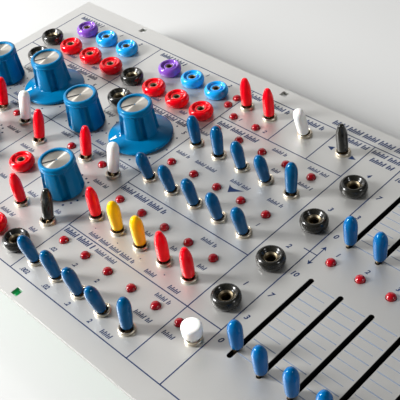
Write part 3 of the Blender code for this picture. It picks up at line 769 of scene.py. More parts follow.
def finish_piece(name: str, shape: Shape, finishes: Sequence[Finish], body: str = PANEL_BODY,
                 stands_for: Sequence[str] = (), smooth: float = 35.0) -> None:
    """Turn a shape into a dressed piece that rides on a body of the frame, and report it.

    Args:
        name: The piece's name.
        shape: The shape in millimetres, which is freed.
        finishes: The finishes that its material indices name.
        body: The body that it rides on.
        stands_for: The nodes of the frame that it replaces.
        smooth: The angle in degrees above which an edge stays sharp.
    """
    bmesh.ops.scale(shape, vec=(MM, MM, MM), verts=shape.verts)
    mesh = mesh_of(shape, name)
    for finish in finishes:
        mesh.materials.append(finish.material())
    mesh.shade_smooth()
    mesh.set_sharp_from_angle(angle=math.radians(smooth))
    piece = new_object(name, mesh)
    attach(piece, body)
    if stands_for:
        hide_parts(*stands_for)
    log.info("%s: %d faces on %s", name, len(mesh.polygons), body)


@dataclass
class Fittings:
    """Where everything on the panel stands."""

    jacks: dict[str, list[Spot]] = field(default_factory=dict)
    lamps: list[Spot] = field(default_factory=list)
    columns: tuple[float, ...] = (153.9, 168.79, 183.68, 198.57, 213.46)
    lamp_rows: tuple[float, ...] = (35.4, 68.6, 101.7, 132.6)
    input_rows: tuple[float, ...] = (55.2, 81.9, 109.7, 136.9)
    jack_pitch: float = 17.5

    def __post_init__(self) -> None:
        """Work out the places of the jacks and lamps."""
        rows = (((9.3, 136.7), "black red red red"), ((21.0, 153.8), "purple light_blue light_blue"),
                ((8.6, 20.9), "black red red black"), ((18.0, 119.9), "black"), ((18.6, 55.6), "red"))
        self.jacks = {colour: [] for colour in ("black", "red", "light_blue", "purple")}
        self.jacks["input"] = [(233.9, y) for y in self.input_rows]
        for left in OUTLINE.output_lefts:
            for (x, y), colours in rows:
                for index, colour in enumerate(colours.split()):
                    self.jacks[colour].append((left + x + self.jack_pitch * index, y))
            self.lamps += [(left + 26.8, 79.8), (left + 50.6, 79.8)]
        self.lamps += [(x, y) for y in self.lamp_rows for x in self.columns]
        self.lamps += [(self.columns[0], 144.8), (self.columns[1], 144.8), (227.2, 35.4)]
        self.lamps += [(x, 96.7) for x in self.stages()]
        self.lamps += [(144.8, 150.5), (144.8, 157.2)]

    @staticmethod
    def stages() -> list[float]:
        """List the slider stages' places along the panel."""
        return [OUTLINE.stage_first + OUTLINE.stage_pitch * index for index in range(OUTLINE.stage_count)]

    def slots(self) -> list[Spot]:
        """List the middles of the slider slots."""
        return [(x, bottom + OUTLINE.slot_length / 2) for bottom in OUTLINE.slot_bottoms for x in self.stages()]

    @staticmethod
    def knobs() -> list[str]:
        """List the nodes of the knobs."""
        return [joint["child"] for joint in frame["joints"] if joint["child"].endswith("_knob")]

    def knob_spots(self) -> list[Spot]:
        """List the places of the knobs."""
        return [node_spot(node) for node in self.knobs()]

    def jack_spots(self) -> list[Spot]:
        """List the places of the jacks of every colour."""
        return [spot for spots in self.jacks.values() for spot in spots]

    @staticmethod
    def toggles() -> list[dict]:
        """List the joints of the toggle levers."""
        return [joint for joint in frame["joints"] if joint["name"].endswith("_tilt")]

    def switches(self) -> list[Spot]:
        """List the places of the bushings that take a lever or the button's stem.

        Returns:
            The places along and up the panel, the button's last.
        """
        places = [joint["pos_m"] for joint in self.toggles()]
        spots = [(x / MM + OUTLINE.width / 2, y / MM + OUTLINE.height / 2) for x, y, _ in places]
        return spots + [node_spot("push_button")]

    def standoffs(self) -> list[Spot]:
        """List the places of the spacers and standoffs."""
        return [node_spot(f"board_standoff_{index + 1}") for index in range(6)]


class PlateFinish(IntEnum):
    """The material indices of the panel plate."""

    SHEET = 0
    EDGE = 1
    FELT = 2
    BUSH = 3


@dataclass
class PanelPlate:
    """The satin plate with its holes and slots, and the spacers behind it."""

    thickness: float = 2.0
    switch_hole: float = 3.3
    lamp_hole: float = 2.25
    pot_hole: float = 5.0
    jack_hole: float = 3.9
    hole_steps: int = 32
    slot_width: float = 2.3
    slot_steps: int = 16
    mount_hole: float = 3.6
    mount_inset: float = 3.6
    unit: float = 107.95
    unit_count: int = 3
    rim: float = 0.1
    sharp_angle: float = 1.2
    wall_slope: float = 0.3
    spacer_radius: float = 2.5
    spacer_bore: float = 1.9

    def build(self, fittings: Fittings) -> None:
        """Build the plate and its spacers.

        Args:
            fittings: Where everything stands.
        """
        finish_piece("panel_plate", self.plate(fittings), (PANEL_SHEET, BARE_EDGE, DUST_STRIP, MASK),
                     stands_for=("front_panel",), smooth=20.0)
        spacer = lathe(((self.spacer_bore, STACK.seat_bottom), (self.spacer_radius, STACK.seat_bottom, 0.3),
                        (self.spacer_radius, STACK.panel_bottom), (self.spacer_bore, STACK.panel_bottom)),
                       24, closed=True)
        finish_piece("panel_spacers", gathered([(spacer, all_on_panel(fittings.standoffs()))]), (NICKEL,))

    def plate(self, fittings: Fittings) -> Shape:
        """Fill the sheet's outline round its holes, and give it its thickness and its broken edges.

        Args:
            fittings: Where everything stands.

        Returns:
            The plate.
        """
        shape = bmesh.new()
        bmesh.ops.create_grid(shape, x_segments=1, y_segments=1, size=0.5,
                              matrix=Matrix.Diagonal((OUTLINE.width, OUTLINE.height, 1.0, 1.0)))
        bmesh.ops.delete(shape, geom=shape.faces[:], context="FACES_ONLY")
        round_holes = ((self.switch_hole, fittings.switches()), (self.lamp_hole, fittings.lamps),
                       (self.pot_hole, fittings.knob_spots()), (self.jack_hole, fittings.jack_spots()))
        for radius, spots in round_holes:
            for spot in spots:
                bmesh.ops.create_circle(shape, cap_ends=False, segments=self.hole_steps, radius=radius,
                                        matrix=on_panel(*spot))
        for spot in fittings.slots():
            self.cut_slot(shape, spot)
        square = Matrix.Rotation(math.pi / 4, 4, "Z")
        for unit in range(self.unit_count):
            for y in (self.mount_inset, OUTLINE.height - self.mount_inset):
                bmesh.ops.create_circle(shape, cap_ends=False, segments=4, radius=self.mount_hole / math.sqrt(2),
                                        matrix=on_panel(self.unit * (unit + 0.5), y) @ square)
        bmesh.ops.triangle_fill(shape, use_beauty=True, use_dissolve=False, edges=shape.edges[:], normal=(0, 0, 1))
        pull(shape, shape.faces[:], (0, 0, self.thickness))
        tidy(shape)
        brim = [edge for edge in shape.edges if edge.is_manifold and edge.calc_face_angle() > self.sharp_angle
                and all(vertex.co.z > self.thickness / 2 for vertex in edge.verts)]
        bevelled = bmesh.ops.bevel(shape, geom=brim, affect="EDGES", offset=self.rim, segments=2, profile=0.5,
                                   material=-1, clamp_overlap=True)
        for face in bevelled["faces"]:
            face.material_index = PlateFinish.EDGE
        self.line_openings(shape, fittings)
        bmesh.ops.translate(shape, vec=(0, 0, STACK.panel_bottom), verts=shape.verts)
        return shape

    def line_openings(self, shape: Shape, fittings: Fittings) -> None:
        """Give the slots' walls the felt of their dust strips, and the lower fixing holes a green bush.

        Args:
            shape: The plate.
            fittings: Where everything stands.
        """
        low, high = 1.0 - OUTLINE.height / 2, 2 * self.mount_inset - 0.5 - OUTLINE.height / 2
        reach = OUTLINE.slot_length / 2 + 0.5
        slots = [place.translation for place in all_on_panel(fittings.slots())]
        for face in shape.faces:
            middle = face.calc_center_median()
            if abs(face.normal.z) > self.wall_slope:
                continue
            if low < middle.y < high:
                face.material_index = PlateFinish.BUSH
            elif any(abs(middle.x - slot.x) < self.slot_width and abs(middle.y - slot.y) < reach for slot in slots):
                face.material_index = PlateFinish.FELT

    def cut_slot(self, shape: Shape, spot: Spot) -> None:
        """Add a round-ended slot's outline to the sheet.

        Args:
            shape: The sheet's outline.
            spot: The slot's middle.
        """
        turn = Matrix.Rotation(math.pi / self.slot_steps, 4, "Z")
        ring = bmesh.ops.create_circle(shape, cap_ends=False, segments=self.slot_steps, radius=self.slot_width / 2,
                                       matrix=on_panel(*spot) @ turn)["verts"]
        reach = (OUTLINE.slot_length - self.slot_width) / 2
        middle = spot[1] - OUTLINE.height / 2
        for way in (1, -1):
            half = [vertex for vertex in ring if (vertex.co.y - middle) * way > 0]
            bmesh.ops.translate(shape, vec=(0, reach * way, 0), verts=half)


@dataclass
class Printing:
    """The printed rules, scales, numbers and marks, which stand a hair above the plate."""

    sink: float = 0.02
    film: float = 0.035
    rule_width: float = 0.5
    scale_width: float = 0.45
    minor_width: float = 0.32
    slant: float = 0.22
    heading_height: float = 3.0
    legend_height: float = 2.2
    bold_from: float = 2.6
    foot_rule: float = 10.44
    lower_rule: float = 87.4
    upper_rule: float = 141.13
    head_rule: float = 166.79
    digit_weight: float = 0.028
    marks: Shape = field(default_factory=bmesh.new)
    fine: Shape = field(default_factory=bmesh.new)

    def build(self, fittings: Fittings) -> None:
        """Print everything and finish the two ink films.

        Args:
            fittings: Where everything stands.
        """
        self.rules()
        for left in OUTLINE.output_lefts:
            self.output_section(left)
        self.programming_section(fittings)
        self.input_column(fittings)
        self.slider_section(fittings)
        finish_piece("printed_marks", self.marks, (INK,), smooth=20.0)
        finish_piece("printed_fine_scales", self.fine, (FINE_INK,), smooth=20.0)

    def level(self) -> float:
        """Give the height of the middle of an ink film."""
        return STACK.face + (self.film - self.sink) / 2

    def bar(self, start: Spot, end: Spot, width: float, shape: Shape | None = None) -> None:
        """Print a straight bar between two places.

        Args:
            start: One end.
            end: The other end.
            width: The bar's width.
            shape: The film that takes it, the marks where none is given.
        """
        first, last = Vector(start), Vector(end)
        run = last - first
        middle = (first + last) / 2
        size = Matrix.Diagonal((run.length, width, self.film + self.sink, 1.0))
        turn = Matrix.Rotation(math.atan2(run.y, run.x), 4, "Z")
        place = on_panel(middle.x, middle.y, self.level())
        bmesh.ops.create_cube(shape or self.marks, size=1.0, matrix=place @ turn @ size)

    def hatch(self, left: float, right: float, y: float, height: float) -> None:
        """Print a row of slanted ticks, long and short, where a legend would stand.

        Args:
            left: Where the row starts.
            right: Where it ends.
            y: The height of its middle.
            height: The height of its long ticks.
        """
        bold = height > self.bold_from
        width, pitch = (0.74, 1.12) if bold else (0.5, 0.86)
        count = max(2, int((right - left) / pitch))
        for index in range(count):
            if index % 8 == 7:
                continue
            share = 1.0 if index % 2 == 0 else 0.66
            x = left + pitch * (index + 0.5)
            low, high = y - height / 2, y - height / 2 + height * share
            self.bar((x + self.slant * (low - y), low), (x + self.slant * (high - y), high), width)

    def number(self, text: str, x: float, y: float, height: float) -> None:
        """Print a number.

        Args:
            text: Its digits.
            x: The middle of it along the panel.
            y: The middle of it up the panel.
            height: The height of its digits.
        """
        curve = bpy.data.curves.new("number", "FONT")
        curve.body = text
        curve.shear = self.slant
        curve.offset = self.digit_weight
        curve.extrude = 0.5
        curve.resolution_u = 3
        item = new_object("number", curve)
        bpy.context.view_layer.update()
        mesh = bpy.data.meshes.new_from_object(item.evaluated_get(bpy.context.evaluated_depsgraph_get()))
        bpy.data.objects.remove(item, do_unlink=True)
        low, high = (Vector([pick(vertex.co[axis] for vertex in mesh.vertices) for axis in range(3)])
                     for pick in (min, max))
        ratio = height / (high.y - low.y)
        size = Matrix.Diagonal((ratio, ratio, (self.film + self.sink) / (high.z - low.z), 1.0))
        place = on_panel(x, y, self.level())
        self.stamp(mesh, place @ size @ Matrix.Translation(-(low + high) / 2))

    def stamp(self, mesh: bpy.types.Mesh, place: Matrix) -> None:
        """Add a mesh to the marks.

        Args:
            mesh: The mesh, which is removed.
            place: The matrix of its place.
        """
        mesh.transform(place)
        self.marks.from_mesh(mesh)
        bpy.data.meshes.remove(mesh)

    def dot(self, x: float, y: float, radius: float = 0.6) -> None:
        """Print a round dot.

        Args:
            x: Its place along the panel.
            y: Its place up the panel.
            radius: Its radius.
        """
        bmesh.ops.create_cone(self.marks, cap_ends=True, segments=16, radius1=radius, radius2=radius,
                              depth=self.film + self.sink, matrix=on_panel(x, y, self.level()))

    def patch(self, outline: Sequence[Spot]) -> None:
        """Print a filled outline.

        Args:
            outline: The corners in order.
        """
        shape = prism(outline, STACK.face - self.sink, STACK.face + self.film)
        self.stamp(mesh_of(shape, "patch"), on_panel(0, 0))

    def rules(self) -> None:
        """Print the long rules between the sections."""
        first, program, end = OUTLINE.output_lefts[0], OUTLINE.program_left, OUTLINE.width - 4.0
        second, third = program + 75.93, program + 94.67
        rows = ((first, end, self.foot_rule), (program, third, 43.33), (program, second, 79.02),
                (first, program, self.lower_rule), (first, program, 128.0), (program, second, self.upper_rule),
                (first, end, self.head_rule))
        for left, right, y in rows:
            self.bar((left, y), (right, y), self.rule_width)
        columns = [(x, self.foot_rule, self.head_rule) for x in (*OUTLINE.output_lefts, program, second, third)]
        columns += [(program + along, self.upper_rule, self.head_rule) for along in (32.0, 55.5)]
        columns += [(left + 32.5, self.foot_rule, self.lower_rule) for left in OUTLINE.output_lefts]
        for x, low, high in columns:
            self.bar((x, low), (x, high), self.rule_width)

    def output_section(self, left: float) -> None:
        """Print one output section's marks.

        Args:
            left: Where the section starts.
        """
        legends = ((3.9, 14.7, 65.5), (13.4, 21.4, 84.5), (38.7, 47.0, 84.7), (56.2, 62.6, 85.0), (55.7, 65.9, 70.4),
                   (36.7, 42.9, 45.6), (14.5, 20.2, 44.8), (35.2, 45.3, 31.0), (57.7, 61.8, 45.5), (57.1, 62.0, 31.0),
                   (33.4, 39.8, 90.7), (19.5, 27.1, 109.2), (29.3, 36.2, 132.4), (50.5, 55.0, 132.4))
        for start, end, y in legends:
            self.hatch(left + start, left + end, y, self.legend_height)
        self.hatch(left + 37.5, left + 62.9, 125.7, self.heading_height)
        self.hatch(left + 4.0, left + 24.0, 163.5, self.heading_height)
        for number, x in enumerate((40.1, 56.5)):
            self.number(str(number + 1), left + x, 163.3, 2.4)
        self.bar((left + 16.9, 110.0), (left + 16.9, 114.0), self.rule_width)
        ring = ((57.5, 49.7), (59.5, 52.9), (60.6, 55.9), (60.5, 59.6), (57.7, 64.9), (54.9, 67.2), (52.0, 68.4),
                (48.3, 68.9))
        for x, y in ring:
            self.dot(left + x, y)
        for degrees in range(-120, 181, 30):
            angle = math.radians(90 - degrees)
            for x, y, reach, radius in ((49.1, 106.6, 18.6, 0.5), (18.0, 97.3, 11.8, 0.45)):
                self.dot(left + x + reach * math.cos(angle), y + reach * math.sin(angle), radius)
        self.number("5", left + 65.0, 121.0, 2.6)
        self.number("1", left + 28.5, 95.0, 2.4)

    def programming_section(self, fittings: Fittings) -> None:
        """Print the switch columns' headings, legends and numbers.

        Args:
            fittings: Where everything stands.
        """
        left = OUTLINE.program_left
        headings = ((1.2, 20.9, 40.8), (0.6, 29.9, 75.5), (3.1, 31.0, 137.5), (0.7, 9.5, 163.5), (15.8, 27.3, 163.4),
                    (37.4, 49.6, 163.4), (61.8, 75.2, 163.9), (48.7, 95.0, 171.0))
        for start, end, y in headings:
            self.hatch(left + start, left + end, y, 3.4 if y > self.head_rule else self.heading_height)
        legends = ((22.0, 36.6, 40.7), (11.8, 41.6, 46.0), (61.1, 70.2, 40.0), (60.9, 71.0, 28.5), (47.9, 54.8, 46.2),
                   (62.3, 70.0, 46.1), (31.1, 35.4, 61.5), (46.9, 51.0, 62.3), (63.4, 68.4, 62.1), (53.6, 62.5, 74.4),
                   (77.4, 84.2, 28.5), (38.6, 47.6, 137.7), (60.4, 71.7, 137.5), (47.8, 52.6, 126.5),
                   (63.5, 71.8, 126.4), (59.8, 68.8, 110.1), (2.4, 11.6, 109.2), (15.1, 28.7, 109.3),
                   (37.8, 49.8, 109.5), (0.3, 7.4, 126.8), (58.0, 65.0, 13.1))
        for start, end, y in legends:
            self.hatch(left + start, left + end, y, self.legend_height)
        numbers = ((13.3, 2.3, ((".002", 6.9), (".02", 21.6), (".2", 36.3), ("2", 50.6))),
                   (29.2, 2.2, ((".02", 6.6), (".2", 21.6), ("2", 36.3))), (145.2, 2.2, (("1", 10.7), ("2", 26.7))))
        for y, height, row in numbers:
            for text, x in row:
                self.number(text, left + x, y, height)
        self.number("1", fittings.columns[4] + 1.3, 95.1, 2.2)
        self.patch([(left + 42.2, 102.3), (left + 39.5, 106.8), (left + 40.9, 106.0), (left + 42.6, 105.8),
                    (left + 44.9, 106.2), (left + 47.9, 107.2)])
        for x, y, way in ((59.5, 154.5, -1), (72.7, 154.2, 1)):
            self.patch([(left + x - 1.6 * way, y - 1.5), (left + x + 1.6 * way, y), (left + x - 1.6 * way, y + 1.5)])
        for column in fittings.columns[:4]:
            self.dot(column + 5.4, 49.2, 0.3)

    def input_column(self, fittings: Fittings) -> None:
        """Print the input jacks' headings and numbers and the branching arrow.

        Args:
            fittings: Where everything stands.
        """
        left = OUTLINE.program_left
        self.hatch(left + 76.9, left + 92.6, 163.7, 2.9)
        self.hatch(left + 79.4, left + 92.1, 158.8, 2.9)
        for number, y in enumerate(fittings.input_rows):
            self.number(str(number + 1), left + 85.9, y + 11.8, 2.6)
        x, y = left + 98.5, 96.5
        self.bar((x - 7.0, y), (x, y), self.scale_width)
        self.bar((x, y - 4.9), (x, y + 4.9), self.scale_width)
        for way in (1, -1):
            tip = y + 6.2 * way
            self.patch([(x - 1.3, tip - 2.2 * way), (x, tip - 1.6 * way), (x + 1.3, tip - 2.2 * way), (x, tip)][::way])

    def slider_section(self, fittings: Fittings) -> None:
        """Print the scales between the slots and their numbers.

        Args:
            fittings: Where everything stands.
        """
        left = OUTLINE.program_left
        for text, y in (("0", 39.7), ("3", 54.3), ("7", 68.6), ("10", 83.2), ("0", 109.8), ("3", 124.5),
                        ("7", 139.6), ("10", 154.2)):
            self.number(text, left + 98.1, y, 2.7)
        for index, x in enumerate(fittings.stages()):
            self.number(str(index + 1), x - 0.2, 101.9, 2.3)
            reach = 12.7 if index < OUTLINE.stage_count - 1 else 8.0
            for base in (39.35, 110.25):
                for step in range(11):
                    y = base + 8.65 * step / 2
                    major = step % 2 == 0
                    self.bar((x + 1.7, y), (x + (reach if major else reach - 1.4), y),
                             self.scale_width if major else self.minor_width, self.fine)


class CollarStyle(Enum):
    """The shapes of the jack collars: a deep funnel, and a shallow dish round a low boss."""

    FUNNEL = "funnel"
    DISH = "dish"


class CapStyle(Enum):
    """The shapes of the toggle caps: a barrel with a dome, a slim one with a cone, and a round-ended tube."""

    BARREL = "barrel"
    SLIM = "slim"
    TUBE = "tube"


@dataclass(frozen=True)
class Moulding:
    """The shape, finish and material slot of a collar or cap."""

    style: CollarStyle | CapStyle
    finish: Finish
    slot: str


COLLARS = {
    "input": Moulding(CollarStyle.FUNNEL, COLLAR_BLACK, "black_plastic"),
    "black": Moulding(CollarStyle.FUNNEL, COLLAR_BLACK, "black_plastic"),
    "red": Moulding(CollarStyle.DISH, COLLAR_RED, "red_plastic"),
    "light_blue": Moulding(CollarStyle.DISH, COLLAR_LIGHT_BLUE, "blue_plastic"),
    "purple": Moulding(CollarStyle.DISH, COLLAR_PURPLE, "blue_plastic"),
}
CAPS = {
    "blue": Moulding(CapStyle.BARREL, BLUE, "blue_plastic"),
    "yellow": Moulding(CapStyle.BARREL, YELLOW, "yellow_plastic"),
    "red": Moulding(CapStyle.SLIM, RED, "red_plastic"),
    "black": Moulding(CapStyle.SLIM, BLACK, "black_plastic"),
    "white": Moulding(CapStyle.TUBE, WHITE, "white_plastic"),
}
# The colours of the caps in the rows that aren't all blue.
CAP_ROWS = {
    "mode_toggle": ("red", "yellow", "yellow", "red", "red"),
    "step_toggle": ("red", "red", "white", "black"),
    "left_output_toggle": ("red", "red", "white", "red", "black"),
    "right_output_toggle": ("red", "red", "white", "red", "black"),
}


@dataclass
class Jacks:
    """The banana jacks: moulded collars, plated sockets and the necks behind the panel."""

    radius: float = 6.3
    height: float = 5.0
    steps: int = 48
    nut_radius: float = 5.2

    def build(self, fittings: Fittings) -> None:
        """Build every colour's collars, and the sockets and necks of them all.

        Args:
            fittings: Where everything stands.
        """
        for colour, kind in COLLARS.items():
            places = all_on_panel(fittings.jacks[colour], STACK.face)
            finish_piece(f"{colour}_jack_collars", gathered([(self.collar(kind.style), places)]), (kind.finish,),
                         smooth=40.0)
            finish_piece(f"{colour}_jack_sockets", gathered([(self.socket(kind.style), places)]),
                         (WORN_NICKEL, DARK_NICKEL), smooth=40.0)
        finish_piece("jack_necks", gathered([(self.neck(), all_on_panel(fittings.jack_spots()))]), (EPOXY, NICKEL),
                     smooth=30.0)

    def collar(self, style: CollarStyle) -> Shape:
        """Spin one collar about its bore.

        Args:
            style: Its shape.

        Returns:
            The collar, its foot at height zero.
        """
        top = self.height
        outside = [(5.25, 0.0), (5.75, 0.5), (6.12, 1.3), (self.radius, 2.3), (6.24, 3.2), (5.98, 4.0), (5.55, 4.6),
                   (5.0, top - 0.06), (4.75, top)]
        inside = {
            CollarStyle.FUNNEL: [(4.45, top - 0.12), (4.1, top - 0.4), (3.8, top - 0.8), (3.5, top - 1.2),
                                 (3.2, top - 1.5), (3.04, top - 1.7), (3.02, 0.0)],
            CollarStyle.DISH: [(4.4, top - 0.15), (4.1, top - 0.7), (3.75, top - 1.6, 0.3), (3.15, top - 1.6, 0.2),
                               (2.9, top - 0.75, 0.25), (2.1, top - 0.75, 0.2), (2.0, top - 1.2), (2.0, 0.0)]}
        return lathe(outside + inside[style], self.steps, closed=True)

    def socket(self, style: CollarStyle) -> Shape:
        """Spin one plated socket with its dark bore, countersunk in a funnel.

        Args:
            style: The shape of the collar round it.

        Returns:
            The socket, the panel's face at height zero.
        """
        if style is CollarStyle.FUNNEL:
            top, bore = 2.6, 2.15
            sleeve = lathe(((bore, 0.1), (bore, top, 0.2), (2.8, 3.4), (2.98, 3.4, 0.06), (2.98, 0.1)), 32, closed=True)
        else:
            top, bore = 4.0, 1.5
            sleeve = lathe(((bore, 0.1), (bore, top, 0.15), (1.95, top, 0.2), (1.95, 0.1)), 32, closed=True)
        lining = painted(lathe(((0.0, -8.5), (bore - 0.03, -8.5), (bore - 0.03, top - 1.2), (bore + 0.2, top - 1.2),
                                (bore + 0.2, -9.0), (0.0, -9.0)), 32), SECOND)
        return gathered([(sleeve, HERE), (lining, HERE)])

    def neck(self) -> Shape:
        """Build one neck behind the panel: insulator, hexagonal nut, washer and solder tail.

        Returns:
            The neck, at its own height.
        """
        low, high = STACK.seat_bottom, STACK.panel_bottom
        insulator = lathe(((0.0, low + 3.0), (3.3, low + 3.0, 0.3), (3.3, low + 5.2), (3.7, low + 5.2),
                           (3.7, high + 1.0), (0.0, high + 1.0)), 24)
        nut = hexagon(self.nut_radius, high - 2.6, high - 0.4, 0.2)
        washer = lathe(((3.8, high - 0.4), (5.9, high - 0.4), (5.9, high), (3.8, high)), 32, closed=True)
        tail = lathe(((0.0, STACK.control_top), (1.1, STACK.control_top, 0.2), (1.1, low + 2.0), (1.6, low + 3.2),
                      (0.0, low + 3.2)), 16)
        return gathered([(insulator, HERE)] + [(painted(shape, SECOND), HERE) for shape in (nut, washer, tail)])


@dataclass
class Lamps:
    """The domed indicator lamps."""

    radius: float = 2.1
    height: float = 1.85

    def build(self, fittings: Fittings) -> None:
        """Build every lamp, with its flange behind the panel.

        Args:
            fittings: Where everything stands.
        """
        low = STACK.control_top - STACK.face
        dome = [(self.radius * share, self.height * rise) for share, rise in (
            (1.0, 0.1), (0.975, 0.36), (0.89, 0.6), (0.73, 0.79), (0.5, 0.925), (0.25, 0.985), (0.0, 1.0))]
        shape = lathe([(0.0, low), (self.radius + 0.5, low), (self.radius + 0.5, low + 1.0, 0.1),
                       (self.radius, low + 1.0)] + dome, 32)
        finish_piece("indicator_lamps", gathered([(shape, all_on_panel(fittings.lamps, STACK.face))]), (LAMP,),
                     smooth=50.0)


@dataclass
class Toggles:
    """The toggle switches: nuts, bushings and bodies on the panel, and a lever with its cap for each."""

    pivot_depth: float = 1.0
    tip: float = 17.4
    start: float = 2.2
    nut_radius: float = 3.7
    nut_height: float = 1.4
    bushing_radius: float = 3.1
    bushing_height: float = 1.2
    bore_radius: float = 2.6
    body_width: float = 6.8
    body_length: float = 12.2
    steps: int = 32

    def build(self, fittings: Fittings) -> None:
        """Build the fixed parts of every switch and each switch's lever and cap.

        Args:
            fittings: Where everything stands.
        """
        spots = fittings.switches()
        finish_piece("switch_nuts", gathered([(self.nut(), all_on_panel(spots, STACK.face))]), (SATIN_NICKEL,),
                     smooth=40.0)
        finish_piece("switch_bushings", gathered([(self.bushing(), all_on_panel(spots, STACK.face))]),
                     (NICKEL, DARK_NICKEL), smooth=40.0)
        finish_piece("switch_bodies", gathered([(self.body(), all_on_panel(spots))]), (SWITCH_CASE, STEEL),
                     smooth=30.0)
        for joint in fittings.toggles():
            self.lever(joint)

    def lever(self, joint: Mapping) -> None:
        """Build one lever and its cap, tilted to rest.

        Args:
            joint: The lever's joint in the record. Its range is centred on the upright lever.
        """
        node = joint["child"]
        low, high = joint["range_deg"]
        pivot = Matrix.Translation(Vector(joint["pos_m"]) / MM)
        place = pivot @ Matrix.Rotation(-math.radians((low + high) / 2), 4, "X")
        kind = CAPS[self.colour(node)]
        finish_piece(f"{node}_cap", gathered([(self.cap(kind.style), [place])]), (kind.finish,), node, (node,),
                     smooth=50.0)
        finish_piece(f"{node}_lever", gathered([(self.stem(), [place])]), (NICKEL,), node,
                     smooth=50.0)

    @staticmethod
    def colour(node: str) -> str:
        """Give the colour of a toggle's cap from its row and number.

        Args:
            node: The toggle's node.

        Returns:
            The colour.
        """
        row, number = node.rsplit("_", 1)
        return CAP_ROWS[row][int(number) - 1] if row in CAP_ROWS else "blue"

    def cap(self, style: CapStyle) -> Shape:
        """Spin one cap about its lever, from the hollow at its foot to its tip.

        Args:
            style: Its shape.

        Returns:
            The cap, upright over its pivot.
        """
        foot = [(0.0, 5.4), (1.5, 5.4), (1.5, self.start, 0.1)]
        skins = {
            CapStyle.BARREL: [(2.5, self.start, 0.3), (2.62, 3.5), (2.78, 6.0), (2.9, 8.6), (2.98, 11.2), (2.94, 12.7),
                              (2.76, 13.9), (2.44, 15.0), (2.02, 15.95), (1.5, 16.75), (0.85, 17.25)],
            CapStyle.SLIM: [(2.5, self.start, 0.3), (2.66, 3.2), (2.74, 5.0), (2.76, 8.5), (2.72, 11.4), (2.55, 13.0),
                            (2.22, 14.4), (1.82, 15.6), (1.46, 16.6), (1.18, 17.08), (0.65, 17.35)],
            CapStyle.TUBE: [(2.4, self.start, 0.3), (2.66, 3.2), (2.8, 5.2), (2.85, 8.0), (2.88, 11.5), (2.86, 14.0),
                            (2.68, 15.3), (2.3, 16.25), (1.7, 16.93), (0.9, 17.3)]}
        shape = lathe(foot + skins[style] + [(0.0, self.tip)], self.steps)
        bmesh.ops.translate(shape, vec=(0, 0, self.pivot_depth), verts=shape.verts)
        return shape

    def stem(self) -> Shape:
        """Spin the lever itself, with the ball that it tilts on."""
        return lathe(((0.0, -1.2), (1.1, -1.2, 0.2), (1.1, -0.9), (1.5, -0.5), (1.65, 0.0), (1.5, 0.6), (1.15, 1.1),
                      (1.15, 3.0), (1.3, 6.2, 0.2), (0.0, 6.2)), 24)

    def nut(self) -> Shape:
        """Spin one round dress nut.

        Returns:
            The nut, the panel's face at height zero.
        """
        return lathe(((self.bushing_radius + 0.05, 0.0), (self.nut_radius - 0.25, 0.0), (self.nut_radius - 0.1, 0.25),
                      (self.nut_radius, 0.6), (self.nut_radius, self.nut_height, 0.5),
                      (self.bushing_radius + 0.05, self.nut_height, 0.15)), 40, closed=True)

    def bushing(self) -> Shape:
        """Spin one threaded bushing, with the dark bore that the lever tilts in.

        Returns:
            The bushing, the panel's face at height zero.
        """
        top = self.bushing_height
        tube = lathe(((self.bore_radius, top, 0.15), (self.bushing_radius, top, 0.1), (self.bushing_radius, -2.3),
                      (self.bore_radius, -2.3)), 40, closed=True)
        lining = painted(lathe(((0.0, -2.2), (self.bore_radius - 0.02, -2.2), (self.bore_radius - 0.02, top - 0.3),
                                (self.bore_radius + 0.2, top - 0.3), (self.bore_radius + 0.2, -2.6), (0.0, -2.6)),
                               self.steps), SECOND)
        return gathered([(tube, HERE), (lining, HERE)])

    def body(self) -> Shape:
        """Build one switch body: moulded case, and steel cover with a strap down either end.

        Returns:
            The body, at its own height.
        """
        low, top = STACK.control_top, STACK.seat_top
        case = slab(self.body_width - 0.3, self.body_length - 0.8, low + 0.4, top - 1.0, 0.3)
        cover = painted(slab(self.body_width, self.body_length, top - 1.1, top - 0.3, 0.15), SECOND)
        strap = painted(slab(4.6, 0.4, low + 1.5, top - 0.8, 0.1), SECOND)
        reach = self.body_length / 2 - 0.2
        ends = [Matrix.Translation((0, y, 0)) for y in (reach, -reach)]
        return gathered([(case, HERE), (cover, HERE), (strap, ends)])


@dataclass
class PushButton:
    """The white push button on its stem."""

    node: str = "push_button"
    radius: float = 4.2
    height: float = 9.2

    def build(self) -> None:
        """Build the cap and the stem."""
        place = on_panel(*node_spot(self.node), STACK.face)
        cap = lathe(((0.0, 4.6), (3.4, 4.6), (3.4, 4.0), (self.radius - 0.1, 4.0, 0.2), (self.radius, 6.4),
                     (self.radius - 0.05, 8.95, 0.9), (self.radius - 1.8, 9.12), (0.0, self.height)), 40)
        finish_piece("push_button_cap", gathered([(cap, [place])]), (WHITE,), self.node, (self.node,),
                     smooth=50.0)
        stem = lathe(((0.0, -0.65), (1.9, -0.65, 0.2), (1.9, 4.7), (0.0, 4.7)), 24)
        finish_piece("push_button_stem", gathered([(stem, [place])]), (WHITE,), self.node)


